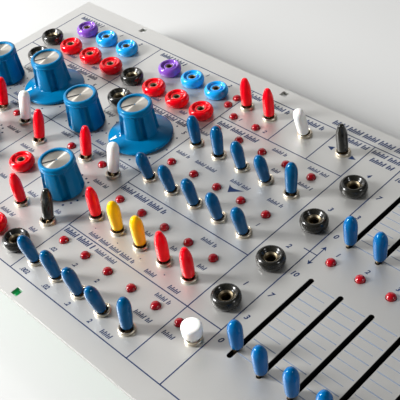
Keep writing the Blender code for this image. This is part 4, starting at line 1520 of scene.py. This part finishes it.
@dataclass
class Knobs:
    """The fluted knobs with their spun discs, and the skirted ones among them."""

    foot: float = 0.6
    height: float = 18.3
    skirted_height: float = 20.0
    base_radius: float = 9.6
    top_radius: float = 8.4
    lip_radius: float = 8.7
    lip_height: float = 3.0
    disc_radius: float = 6.6
    disc_depth: float = 0.8
    skirt_radius: float = 16.3
    skirt_thickness: float = 3.4
    skirt_rim: float = 1.4
    flute_count: int = 5
    flute_width: float = 4.2
    flute_depth: float = 2.3
    flute_angle: float = 328.0
    pointer_angle: float = 240.0
    side_rings: int = 14
    steps: int = 144

    def build(self, fittings: Fittings) -> None:
        """Build every knob and the potentiometer under it.

        Args:
            fittings: Where everything stands.
        """
        for node in fittings.knobs():
            self.knob(node, "dial" in node)
        finish_piece("potentiometers", gathered([(self.potentiometer(), all_on_panel(fittings.knob_spots()))]),
                     (STEEL, PHENOLIC, NICKEL), smooth=30.0)

    def knob(self, node: str, skirted: bool) -> None:
        """Build one knob's body, disc, index line and shaft.

        Args:
            node: The knob's node and body.
            skirted: Whether it has a skirt with a pointer.
        """
        place = on_panel(*node_spot(node), STACK.face)
        height = self.skirted_height if skirted else self.height
        finish_piece(f"{node}_body", gathered([(self.body(height, skirted), [place])]), (KNOB_BLUE,), node, (node,),
                     smooth=40.0)
        floor = height - self.disc_depth
        finish_piece(f"{node}_disc", gathered([(self.disc(floor), [place])]), (FOIL,), node, smooth=30.0)
        turn = Matrix.Rotation(math.radians(self.pointer_angle), 4, "Z")
        line = slab(6.0, 0.75, floor + 0.05, floor + 0.16, middle=(3.5, 0.0))
        finish_piece(f"{node}_index", gathered([(line, [place @ turn])]), (BLACK_LINE,), node)
        shaft = lathe(((0.0, -6.9), (3.0, -6.9, 0.3), (3.0, floor - 1.5), (0.0, floor - 1.5)), 24)
        finish_piece(f"{node}_shaft", gathered([(shaft, [place])]), (STEEL,), node, smooth=40.0)
        if skirted:
            finish_piece(f"{node}_pointer", gathered([(self.pointer(), [place @ turn])]), (WHITE_LINE,), node)

    def body(self, height: float, skirted: bool) -> Shape:
        """Spin one knob's body and press its flutes in.

        Args:
            height: The height of its lip above the panel.
            skirted: Whether it has a skirt.

        Returns:
            The body.
        """
        lip = height - self.lip_height
        foot = self.foot + (self.skirt_thickness if skirted else 0.0)
        low, high = foot + 0.3, lip - 0.5
        shares = [index / self.side_rings for index in range(self.side_rings + 1)]
        side = [(self.base_radius + (self.top_radius - self.base_radius) * share, low + (high - low) * share)
                for share in shares]
        if skirted:
            base = [(0.0, self.foot), (self.skirt_radius, self.foot, 0.3),
                    (self.skirt_radius, self.foot + self.skirt_rim, 0.5), (self.base_radius + 1.2, foot - 0.15),
                    (self.base_radius + 0.3, foot + 0.05)]
        else:
            base = [(0.0, self.foot), (self.base_radius - 0.3, self.foot), (self.base_radius, self.foot + 0.2)]
        floor = height - self.disc_depth
        crown = [(self.top_radius - 0.15, lip - 0.25), (self.top_radius - 0.15, lip), (self.lip_radius, lip, 0.2),
                 (self.lip_radius, lip + 0.7, 0.1), (self.lip_radius - 0.22, lip + 0.85, 0.1),
                 (self.lip_radius - 0.12, height, 0.9), (self.disc_radius + 0.3, height, 0.3),
                 (self.disc_radius, floor + 0.05), (self.disc_radius, floor), (0.0, floor)]
        shape = lathe(base + side + crown, self.steps)
        self.press_flutes(shape, foot, lip)
        return shape

    def press_flutes(self, shape: Shape, foot: float, lip: float) -> None:
        """Move the side's vertices inwards along each flute, which runs out below the lip.

        Args:
            shape: The body.
            foot: The height where the fluted side starts.
            lip: The height of the lip's underside.
        """
        step = math.tau / self.flute_count
        start = math.radians(self.flute_angle)
        for vertex in shape.verts:
            radius = vertex.co.xy.length
            if not foot + 0.05 < vertex.co.z < lip - 0.3 or radius < self.top_radius - 0.3:
                continue
            angle = math.atan2(vertex.co.y, vertex.co.x) - start
            away = abs((angle + step / 2) % step - step / 2) * radius
            share = away / (self.flute_width / 2)
            if share < 1:
                depth = self.flute_depth * math.sqrt(1 - share ** 2) * min(1.0, (lip - 0.4 - vertex.co.z) / 1.2)
                vertex.co.xy *= (radius - depth) / radius

    def disc(self, floor: float) -> Shape:
        """Spin the disc in a knob's top, and map it round its middle for its rings.

        Args:
            floor: The height of the hollow that it lies in.

        Returns:
            The disc.
        """
        top, rim = floor + 0.05, self.disc_radius - 0.1
        shape = lathe(((0.35, top), (2.2, top), (4.4, top), (rim, top), (rim, floor - 0.1), (0.35, floor - 0.1)), 72,
                      closed=True)
        layer = shape.loops.layers.uv.new(FOIL.map_name)
        for face in shape.faces:
            middle = face.calc_center_median()
            heading = math.atan2(middle.y, middle.x)
            for loop in face.loops:
                spot = loop.vert.co
                turn = (math.atan2(spot.y, spot.x) - heading + math.pi) % math.tau - math.pi
                loop[layer].uv = (spot.xy.length, (heading + turn) / math.tau)
        return shape

    def pointer(self) -> Shape:
        """Build the white wedge on a skirt, its point outwards, lying on the skirt's slope.

        Returns:
            The wedge, pointing along X.
        """
        inner, outer = self.base_radius + 0.35, self.skirt_radius - 0.7
        shape = prism(((inner, -1.45), (outer, -0.3), (outer, 0.3), (inner, 1.45)), 0.0, 0.14)
        fall = (self.skirt_thickness - self.skirt_rim) / (self.skirt_radius - self.base_radius)
        for vertex in shape.verts:
            vertex.co.z += self.foot + self.skirt_thickness - fall * (vertex.co.x - self.base_radius) + 0.01
        return shape

    def potentiometer(self) -> Shape:
        """Build one potentiometer: phenolic base, pressed can and bushing.

        Returns:
            The potentiometer, at its own height.
        """
        low, top = STACK.control_top, STACK.seat_top
        base = painted(slab(14.0, 14.0, low + 0.2, low + 1.4, 0.2), SECOND)
        can = lathe(((0.0, low + 1.4), (7.9, low + 1.4), (7.9, top - 0.6, 0.6), (5.4, top - 0.6), (5.4, top, 0.2),
                     (0.0, top)), 48)
        bushing = painted(lathe(((3.2, top - 0.5), (4.6, top - 0.5), (4.6, STACK.face), (3.2, STACK.face)), 32,
                                closed=True), THIRD)
        return gathered([(base, HERE), (can, HERE), (bushing, HERE)])


@dataclass
class Sliders:
    """The slide potentiometers: cases with lined tracks, and a lever with its cap for each."""

    case_width: float = 8.0
    overhang: float = 5.0
    track_width: float = 3.0
    track_depth: float = 5.8
    lever_width: float = 1.2
    lever_length: float = 4.0
    cap_start: float = 2.0
    cap_top: float = 15.9

    def build(self, fittings: Fittings) -> None:
        """Build the fixed cases, and each slider's lever and cap.

        Args:
            fittings: Where everything stands.
        """
        finish_piece("slide_cases", gathered([(self.case(), all_on_panel(fittings.slots()))]), (STEEL, DUST_STRIP),
                     smooth=30.0)
        for joint in frame["joints"]:
            if joint["name"].endswith("_slide"):
                self.lever(joint["child"])

    def lever(self, node: str) -> None:
        """Build one slider's lever and cap at its place.

        Args:
            node: The slider's node and body.
        """
        place = on_panel(*node_spot(node), STACK.face)
        finish_piece(f"{node}_cap", gathered([(self.cap(), [place])]), (SLIDER_BLUE,), node, (node,),
                     smooth=50.0)
        blade = slab(self.lever_width, self.lever_length, -6.9, 4.4, 0.15)
        fork = slab(self.lever_width, 1.2, 0.4, 2.6, 0.1)
        finish_piece(f"{node}_lever", gathered([(blade, [place]), (fork, [place @ Matrix.Translation((0, 1.2, 0))])]),
                     (DARK_NICKEL,), node)

    def cap(self) -> Shape:
        """Spin one cap and flatten it along the panel.

        Returns:
            The cap, the panel's face at height zero.
        """
        top = self.cap_top
        shape = lathe(((0.0, 3.4), (1.9, 3.4), (2.1, self.cap_start, 0.15), (2.6, self.cap_start, 0.25), (2.76, 3.0),
                       (2.92, 5.0), (3.04, 7.4), (3.1, 9.8), (3.06, top - 4.2), (2.88, top - 3.1), (2.5, top - 2.1),
                       (2.0, top - 1.2), (1.45, top - 0.5), (0.8, top - 0.12), (0.0, top)), 40)
        bmesh.ops.scale(shape, vec=(0.95, 1.0, 1.0), verts=shape.verts)
        return shape

    def case(self) -> Shape:
        """Build one case: folded steel with the lined track let into its top.

        Returns:
            The case, at its own height.
        """
        low, top = STACK.control_top, STACK.seat_top
        length = OUTLINE.slot_length + 2 * self.overhang
        shape = slab(self.case_width, length, low + 0.3, top)
        lid = [face for face in shape.faces if face.normal.z > 0.9]
        bmesh.ops.inset_region(shape, faces=lid, thickness=(self.case_width - self.track_width) / 2,
                               use_even_offset=True)
        pull(shape, lid, (0, 0, -self.track_depth))
        bmesh.ops.delete(shape, geom=lid, context="FACES_ONLY")
        tidy(shape)
        for face in shape.faces:
            middle = face.calc_center_median()
            if abs(middle.x) < self.track_width / 2 + 0.01 and top - self.track_depth - 0.01 < middle.z < top - 0.01:
                face.material_index = SECOND
        return shape


@dataclass
class ControlBoard:
    """The board behind the panel, with the solder joints on its back."""

    inset: float = 1.0
    edge: float = 5.8
    joint_radius: float = 0.95
    joint_height: float = 1.1

    def build(self, fittings: Fittings) -> None:
        """Build the board and its solder joints.

        Args:
            fittings: Where everything stands.
        """
        width, height = OUTLINE.width - 2 * self.inset, OUTLINE.height - 2 * self.edge
        finish_piece("control_card", slab(width, height, STACK.control_bottom, STACK.control_top, 0.1), (MASK,),
                     stands_for=("control_board",), smooth=20.0)
        finish_piece("control_solder_joints", self.joints(fittings), (TIN,), smooth=50.0)

    def joints(self, fittings: Fittings) -> Shape:
        """Set a solder joint under every pin.

        Args:
            fittings: Where everything stands.

        Returns:
            The joints of the whole board.
        """
        shape = bmesh.new()
        patterns = (
            (fittings.switches(), [(x, y) for x in (-2.4, 2.4) for y in (-4.7, 0.0, 4.7)]),
            (fittings.lamps, [(-1.27, 0.0), (1.27, 0.0)]),
            (fittings.knob_spots(), [(-5.0, -6.5), (0.0, -6.5), (5.0, -6.5)]),
            (fittings.slots(), [(x, y) for x in (-2.5, 2.5) for y in (-27.5, 27.5)]),
            (fittings.jack_spots(), [(0.0, 0.0)]))
        for spots, pins in patterns:
            for x, y in spots:
                for along, up in pins:
                    solder_joint(shape, x + along, y + up, STACK.control_bottom, self.joint_radius, self.joint_height)
        return shape


def solder_joint(shape: Shape, x: float, y: float, underside: float, radius: float, height: float) -> None:
    """Add a solder cone under a board.

    Args:
        shape: The shape that takes it.
        x: Its place along the panel.
        y: Its place up the panel.
        underside: The height of the board's underside.
        radius: The radius of its foot.
        height: How far it stands down.
    """
    bmesh.ops.create_cone(shape, cap_ends=True, segments=8, radius1=radius * 0.3, radius2=radius, depth=height,
                          matrix=on_panel(x, y, underside - height / 2))


@dataclass
class MainBoard:
    """The rear board: chips with their legs, small parts, the power header and the solder joints."""

    inset: float = 2.4
    bottom: float = 21.0
    top: float = 6.2
    chip_width: float = 6.4
    chip_length: float = 19.8
    chip_height: float = 3.4
    chip_pitch: Spot = (46.0, 32.0)
    columns: int = 6
    rows: int = 4
    pin_pitch: float = 2.54
    pin_width: float = 0.64
    leg_reach: float = 3.81
    shoulder_reach: float = 3.35
    legs_a_side: int = 7
    resistor_shifts: tuple[float, float, float] = (8.5, 11.5, 14.5)
    wire_length: float = 10.2
    header_x: float = 137.93
    header_size: tuple[float, float, float] = (20.3, 9.0, 8.8)
    header_wall: float = 1.2
    header_depth: float = 6.4
    header_pins: int = 6
    link_spot: Spot = (281.0, 160.5)
    link_size: Spot = (25.4, 5.0)
    link_pins: int = 10
    joint_radius: float = 0.8
    joint_height: float = 0.9

    def middle(self) -> Spot:
        """Give the board's middle on the panel."""
        return OUTLINE.width / 2, (OUTLINE.height + self.bottom - self.top) / 2

    def chips(self) -> list[Spot]:
        """List the chips' places.

        Returns:
            The places, column by column.
        """
        x, y = self.middle()
        return [(x + self.chip_pitch[0] * (column - (self.columns - 1) / 2),
                 y + self.chip_pitch[1] * (row - (self.rows - 1) / 2))
                for column in range(self.columns) for row in range(self.rows)]

    def row(self, count: int) -> list[float]:
        """List the places of a row of pins about its middle."""
        return [self.pin_pitch * (index - (count - 1) / 2) for index in range(count)]

    def leg_spots(self, reach: float) -> list[Spot]:
        """List the places of a chip's legs, or of a part of them, this far from its middle line."""
        return [(side * reach, y) for side in (-1, 1) for y in self.row(self.legs_a_side)]

    def build(self) -> None:
        """Build the board and everything on it."""
        x, y = self.middle()
        card = slab(OUTLINE.width - 2 * self.inset, OUTLINE.height - self.bottom - self.top, STACK.main_bottom,
                    STACK.main_top, 0.1)
        finish_piece("main_card", gathered([(card, [on_panel(x, y)])]), (MASK,), stands_for=("main_board",),
                     smooth=20.0)
        places = all_on_panel(self.chips(), STACK.main_top)
        finish_piece("chip_packages", gathered([(self.package(), places)]), (EPOXY,), smooth=30.0)
        finish_piece("chip_legs", gathered([(self.legs(), places)]), (TIN,))
        self.small_parts()
        self.header()
        self.link()
        finish_piece("main_solder_joints", self.joints(), (TIN,), smooth=50.0)

    def package(self) -> Shape:
        """Build one chip's package, its sides drawn in towards the top.

        Returns:
            The package, the board's face at height zero.
        """
        shape = slab(self.chip_width, self.chip_length, 0.7, self.chip_height)
        for vertex in shape.verts:
            if vertex.co.z > self.chip_height - 0.1:
                vertex.co.xy *= 0.95
        bmesh.ops.bevel(shape, geom=shape.edges[:], affect="EDGES", offset=0.2, segments=2, profile=0.5, material=-1)
        return shape

    def legs(self) -> Shape:
        """Build one chip's fourteen legs, with their shoulders.

        Returns:
            The legs, the board's face at height zero.
        """
        parts = ((slab(1.3, 1.3, 1.6, 1.9, 0.05), self.shoulder_reach),
                 (slab(0.3, 0.6, -0.1, 1.8, 0.05), self.leg_reach))
        return gathered([(part, [Matrix.Translation((x, y, 0)) for x, y in self.leg_spots(reach)])
                         for part, reach in parts])

    def small_parts(self) -> None:
        """Build the resistors, ceramic discs and electrolytic capacitors between the chips."""
        barrel = lathe(((0.0, -3.2), (0.9, -3.2, 0.3), (0.9, -2.2), (0.75, -1.8), (0.75, 1.8), (0.9, 2.2),
                        (0.9, 3.2, 0.3), (0.0, 3.2)), 12)
        bmesh.ops.rotate(barrel, matrix=Matrix.Rotation(math.pi / 2, 3, "X"), verts=barrel.verts)
        wire = slab(0.5, self.wire_length, -0.25, 0.25, 0.1)
        lying = [on_panel(x + shift, y, STACK.main_top + 1.1) for x, y in self.chips()
                 for shift in self.resistor_shifts]
        finish_piece("resistor_bodies", gathered([(barrel, lying)]), (RESISTOR,), smooth=50.0)
        finish_piece("resistor_wires", gathered([(wire, lying)]), (TIN,))
        # The last column of chips has no room beside it.
        spots = self.chips()[:-self.rows]
        disc = lathe(((0.0, -1.3), (1.6, -1.3, 0.4), (2.4, -0.5), (2.4, 0.5), (1.6, 1.3, 0.4), (0.0, 1.3)), 20)
        bmesh.ops.rotate(disc, matrix=Matrix.Rotation(math.pi / 2, 3, "Y"), verts=disc.verts)
        standing = [on_panel(x + 20.0, y - 4.0, STACK.main_top + 2.8) for x, y in spots]
        finish_piece("ceramic_capacitors", gathered([(disc, standing)]), (CERAMIC,), smooth=50.0)
        can = lathe(((0.0, 0.0), (2.9, 0.0, 0.2), (3.1, 0.8), (2.9, 1.4), (3.1, 2.0), (3.1, 9.4, 0.5), (2.3, 9.4, 0.1),
                     (2.2, 9.2), (0.0, 9.2)), 24)
        cans = [on_panel(x + 20.5, y + 6.0, STACK.main_top) for x, y in spots[::3]]
        finish_piece("electrolytic_capacitors", gathered([(can, cans)]), (SLEEVE,), smooth=40.0)

    def header(self) -> None:
        """Build the power header, a shroud open towards the panel's lower edge with two rows of pins."""
        width, length, height = self.header_size
        mouth, level = self.bottom + 0.4, STACK.main_top + height / 2
        shape = bmesh.new()
        bmesh.ops.create_cube(shape, size=1.0, matrix=on_panel(self.header_x, mouth + length / 2, level)
                              @ Matrix.Diagonal((width, length, height, 1.0)))
        front = [face for face in shape.faces if face.normal.y < -0.9]
        bmesh.ops.inset_region(shape, faces=front, thickness=self.header_wall, use_even_offset=True)
        pull(shape, front, (0, self.header_depth, 0))
        bmesh.ops.delete(shape, geom=front, context="FACES_ONLY")
        finish_piece("power_header_shroud", tidy(shape), (EPOXY,))
        pin = slab(self.pin_width, 7.6, -self.pin_width / 2, self.pin_width / 2, 0.08)
        places = [on_panel(self.header_x + x, mouth + 4.4, level + rise)
                  for x in self.row(self.header_pins) for rise in self.row(2)]
        finish_piece("power_header_pins", gathered([(pin, places)]), (GOLD,))

    def link(self) -> None:
        """Build the pin strip that joins the two boards."""
        x, y = self.link_spot
        strips = [slab(*self.link_size, STACK.main_top, STACK.main_top + 8.5, 0.2),
                  slab(*self.link_size, STACK.control_bottom - 2.5, STACK.control_bottom, 0.2)]
        finish_piece("board_link_strips", gathered([(strip, [on_panel(x, y)]) for strip in strips]), (EPOXY,))
        pin = slab(self.pin_width, self.pin_width, STACK.main_top + 8.0, STACK.control_bottom - 2.0)
        places = [on_panel(x + along, y + side) for along in self.row(self.link_pins) for side in self.row(2)]
        finish_piece("board_link_pins", gathered([(pin, places)]), (GOLD,))

    def joints(self) -> Shape:
        """Set a solder joint under every leg and wire.

        Returns:
            The joints of the whole board.
        """
        shape = bmesh.new()
        ends = (-self.wire_length / 2, self.wire_length / 2)
        pins = self.leg_spots(self.leg_reach) + [(shift, end) for shift in self.resistor_shifts for end in ends]
        for x, y in self.chips():
            for along, up in pins:
                solder_joint(shape, x + along, y + up, STACK.main_bottom, self.joint_radius, self.joint_height)
        return shape


@dataclass
class Standoffs:
    """The standoffs between the boards, with their studs and rear screws."""

    radius: float = 2.5
    screw_radius: float = 1.5
    head_radius: float = 2.9
    head_height: float = 2.2
    stud: float = 6.0

    def build(self, fittings: Fittings) -> None:
        """Build every standoff.

        Args:
            fittings: Where everything stands.
        """
        top = STACK.control_top + self.stud
        for index, spot in enumerate(fittings.standoffs()):
            node = f"board_standoff_{index + 1}"
            place = [on_panel(*spot)]
            sleeve = hexagon(self.radius, STACK.main_top + 0.3, STACK.control_bottom - 0.3, 0.15)
            screw = lathe(((0.0, 0.9), (1.0, 0.9), (1.2, 0.0, 0.05), (self.head_radius - 0.5, 0.0, 0.5),
                           (self.head_radius, self.head_height, 0.1), (self.screw_radius, self.head_height),
                           (self.screw_radius, top, 0.3), (0.0, top)), 32)
            finish_piece(f"{node}_post", gathered([(sleeve, place), (screw, place)]), (NICKEL,), stands_for=(node,),
                         smooth=30.0)


@dataclass(frozen=True)
class SoftBox:
    """A rectangular soft light: its place and size in metres, and its power in watts."""

    name: str
    place: tuple[float, float, float]
    size: Spot
    power: float


@dataclass
class Studio:
    """The camera, the pale floor and the soft light, in metres."""

    lens: float = 77.51
    shift: float = 0.015
    place: tuple[float, float, float] = (0.24459, -0.17954, 0.28970)
    right: tuple[float, float, float] = (0.70564, 0.69872, -0.11775)
    up: tuple[float, float, float] = (-0.41639, 0.54336, 0.72896)
    back: tuple[float, float, float] = (0.57332, -0.46536, 0.67435)
    far_side: tuple[float, float, float] = (-0.93, 0.36, 0.0)
    dim: float = 0.06
    bright: float = 1.9
    horizon: float = 0.5
    horizon_top: float = 0.3
    wall_sides: Spot = (0.3, 0.9)
    wall_top: Spot = (0.52, 0.76)
    above_wall: float = 0.1
    floor_size: float = 3.0
    target: tuple[float, float, float] = (0.0, 0.0, 0.02)
    boxes: tuple[SoftBox, ...] = (
        SoftBox("key_box", (-0.67, -0.62, 0.48), (0.3, 0.44), 19.0),
        SoftBox("strip_box", (-0.64, -0.52, 0.66), (0.1, 0.3), 6.0),
        SoftBox("side_box", (0.97, 0.22, 0.69), (0.13, 0.22), 2.2))

    def camera(self) -> None:
        """Set up the camera at the photograph's viewing angle."""
        data = bpy.data.cameras.new("camera")
        data.lens = self.lens
        data.sensor_width = 36.0
        data.shift_y = self.shift
        data.clip_start = 0.01
        data.clip_end = 20.0
        camera = new_object("camera", data)
        axes = Matrix((self.right, self.up, self.back)).transposed().to_4x4()
        camera.matrix_world = Matrix.Translation(self.place) @ axes
        bpy.context.scene.camera = camera

    def light(self) -> None:
        """Set the world's light, a bright wall beyond the module and a dim room before it."""
        world = bpy.data.worlds.new("studio")
        world.use_nodes = True
        tree = world.node_tree
        tree.nodes.clear()
        way = add(tree, "TexCoord").outputs["Generated"]
        toward = add(tree, "VectorMath", {"operation": "DOT_PRODUCT", 1: self.far_side}, {0: way})
        wall = add(tree, "MapRange", {"From Min": self.wall_sides[0], "From Max": self.wall_sides[1]},
                   {"Value": toward.outputs["Value"]})
        height = add(tree, "SeparateXYZ", links={0: way})
        fall = add(tree, "MapRange", {"From Min": self.wall_top[0], "From Max": self.wall_top[1], "To Min": 1.0,
                                      "To Max": self.above_wall}, {"Value": height.outputs["Z"]})
        lit = add(tree, "Math", {"operation": "MULTIPLY"}, {0: wall.outputs[0], 1: fall.outputs[0]})
        sweep = add(tree, "MapRange", {"To Min": self.dim, "To Max": self.bright}, {"Value": lit.outputs[0]})
        # The light evens out towards the horizon, so the floor's edge hardly shows.
        lift = add(tree, "MapRange", {"From Min": 0.0, "From Max": self.horizon_top}, {"Value": height.outputs["Z"]})
        level = add(tree, "Mix", {"data_type": "FLOAT", NUMBER_A: self.horizon},
                    {0: lift.outputs[0], NUMBER_B: sweep.outputs[0]})
        glow = add(tree, "Background", {"Color": (1.0, 1.0, 1.0, 1.0)}, {"Strength": level.outputs[0]})
        add(tree, "OutputWorld", links={"Surface": glow.outputs[0]})
        bpy.context.scene.world = world

    def hang_boxes(self) -> None:
        """Hang the soft boxes and aim them at the module."""
        for box in self.boxes:
            data = bpy.data.lights.new(box.name, "AREA")
            data.shape = "RECTANGLE"
            data.size, data.size_y = box.size
            data.energy = box.power
            aim = (Vector(self.target) - Vector(box.place)).to_track_quat("-Z", "Y")
            new_object(box.name, data).matrix_world = Matrix.Translation(box.place) @ aim.to_matrix().to_4x4()

    def floor(self) -> None:
        """Lay the pale floor under the module."""
        shape = bmesh.new()
        bmesh.ops.create_grid(shape, x_segments=8, y_segments=8, size=self.floor_size)
        mesh = mesh_of(shape, "floor")
        mesh.materials.append(PAPER.material())
        floor = new_object("floor", mesh)


def main() -> None:
    """Build the studio and every sub-assembly."""
    logging.basicConfig(level=logging.INFO, format="%(message)s")
    bpy.context.scene.view_settings.view_transform = "Standard"
    studio = Studio()
    studio.camera()
    studio.light()
    studio.hang_boxes()
    studio.floor()
    fittings = Fittings()
    for assembly in (PanelPlate(), Printing(), Jacks(), Lamps(), Toggles(), Knobs(), Sliders(), ControlBoard()):
        assembly.build(fittings)
    MainBoard().build()
    Standoffs().build(fittings)
    PushButton().build()


if __name__ == "__main__":
    main()
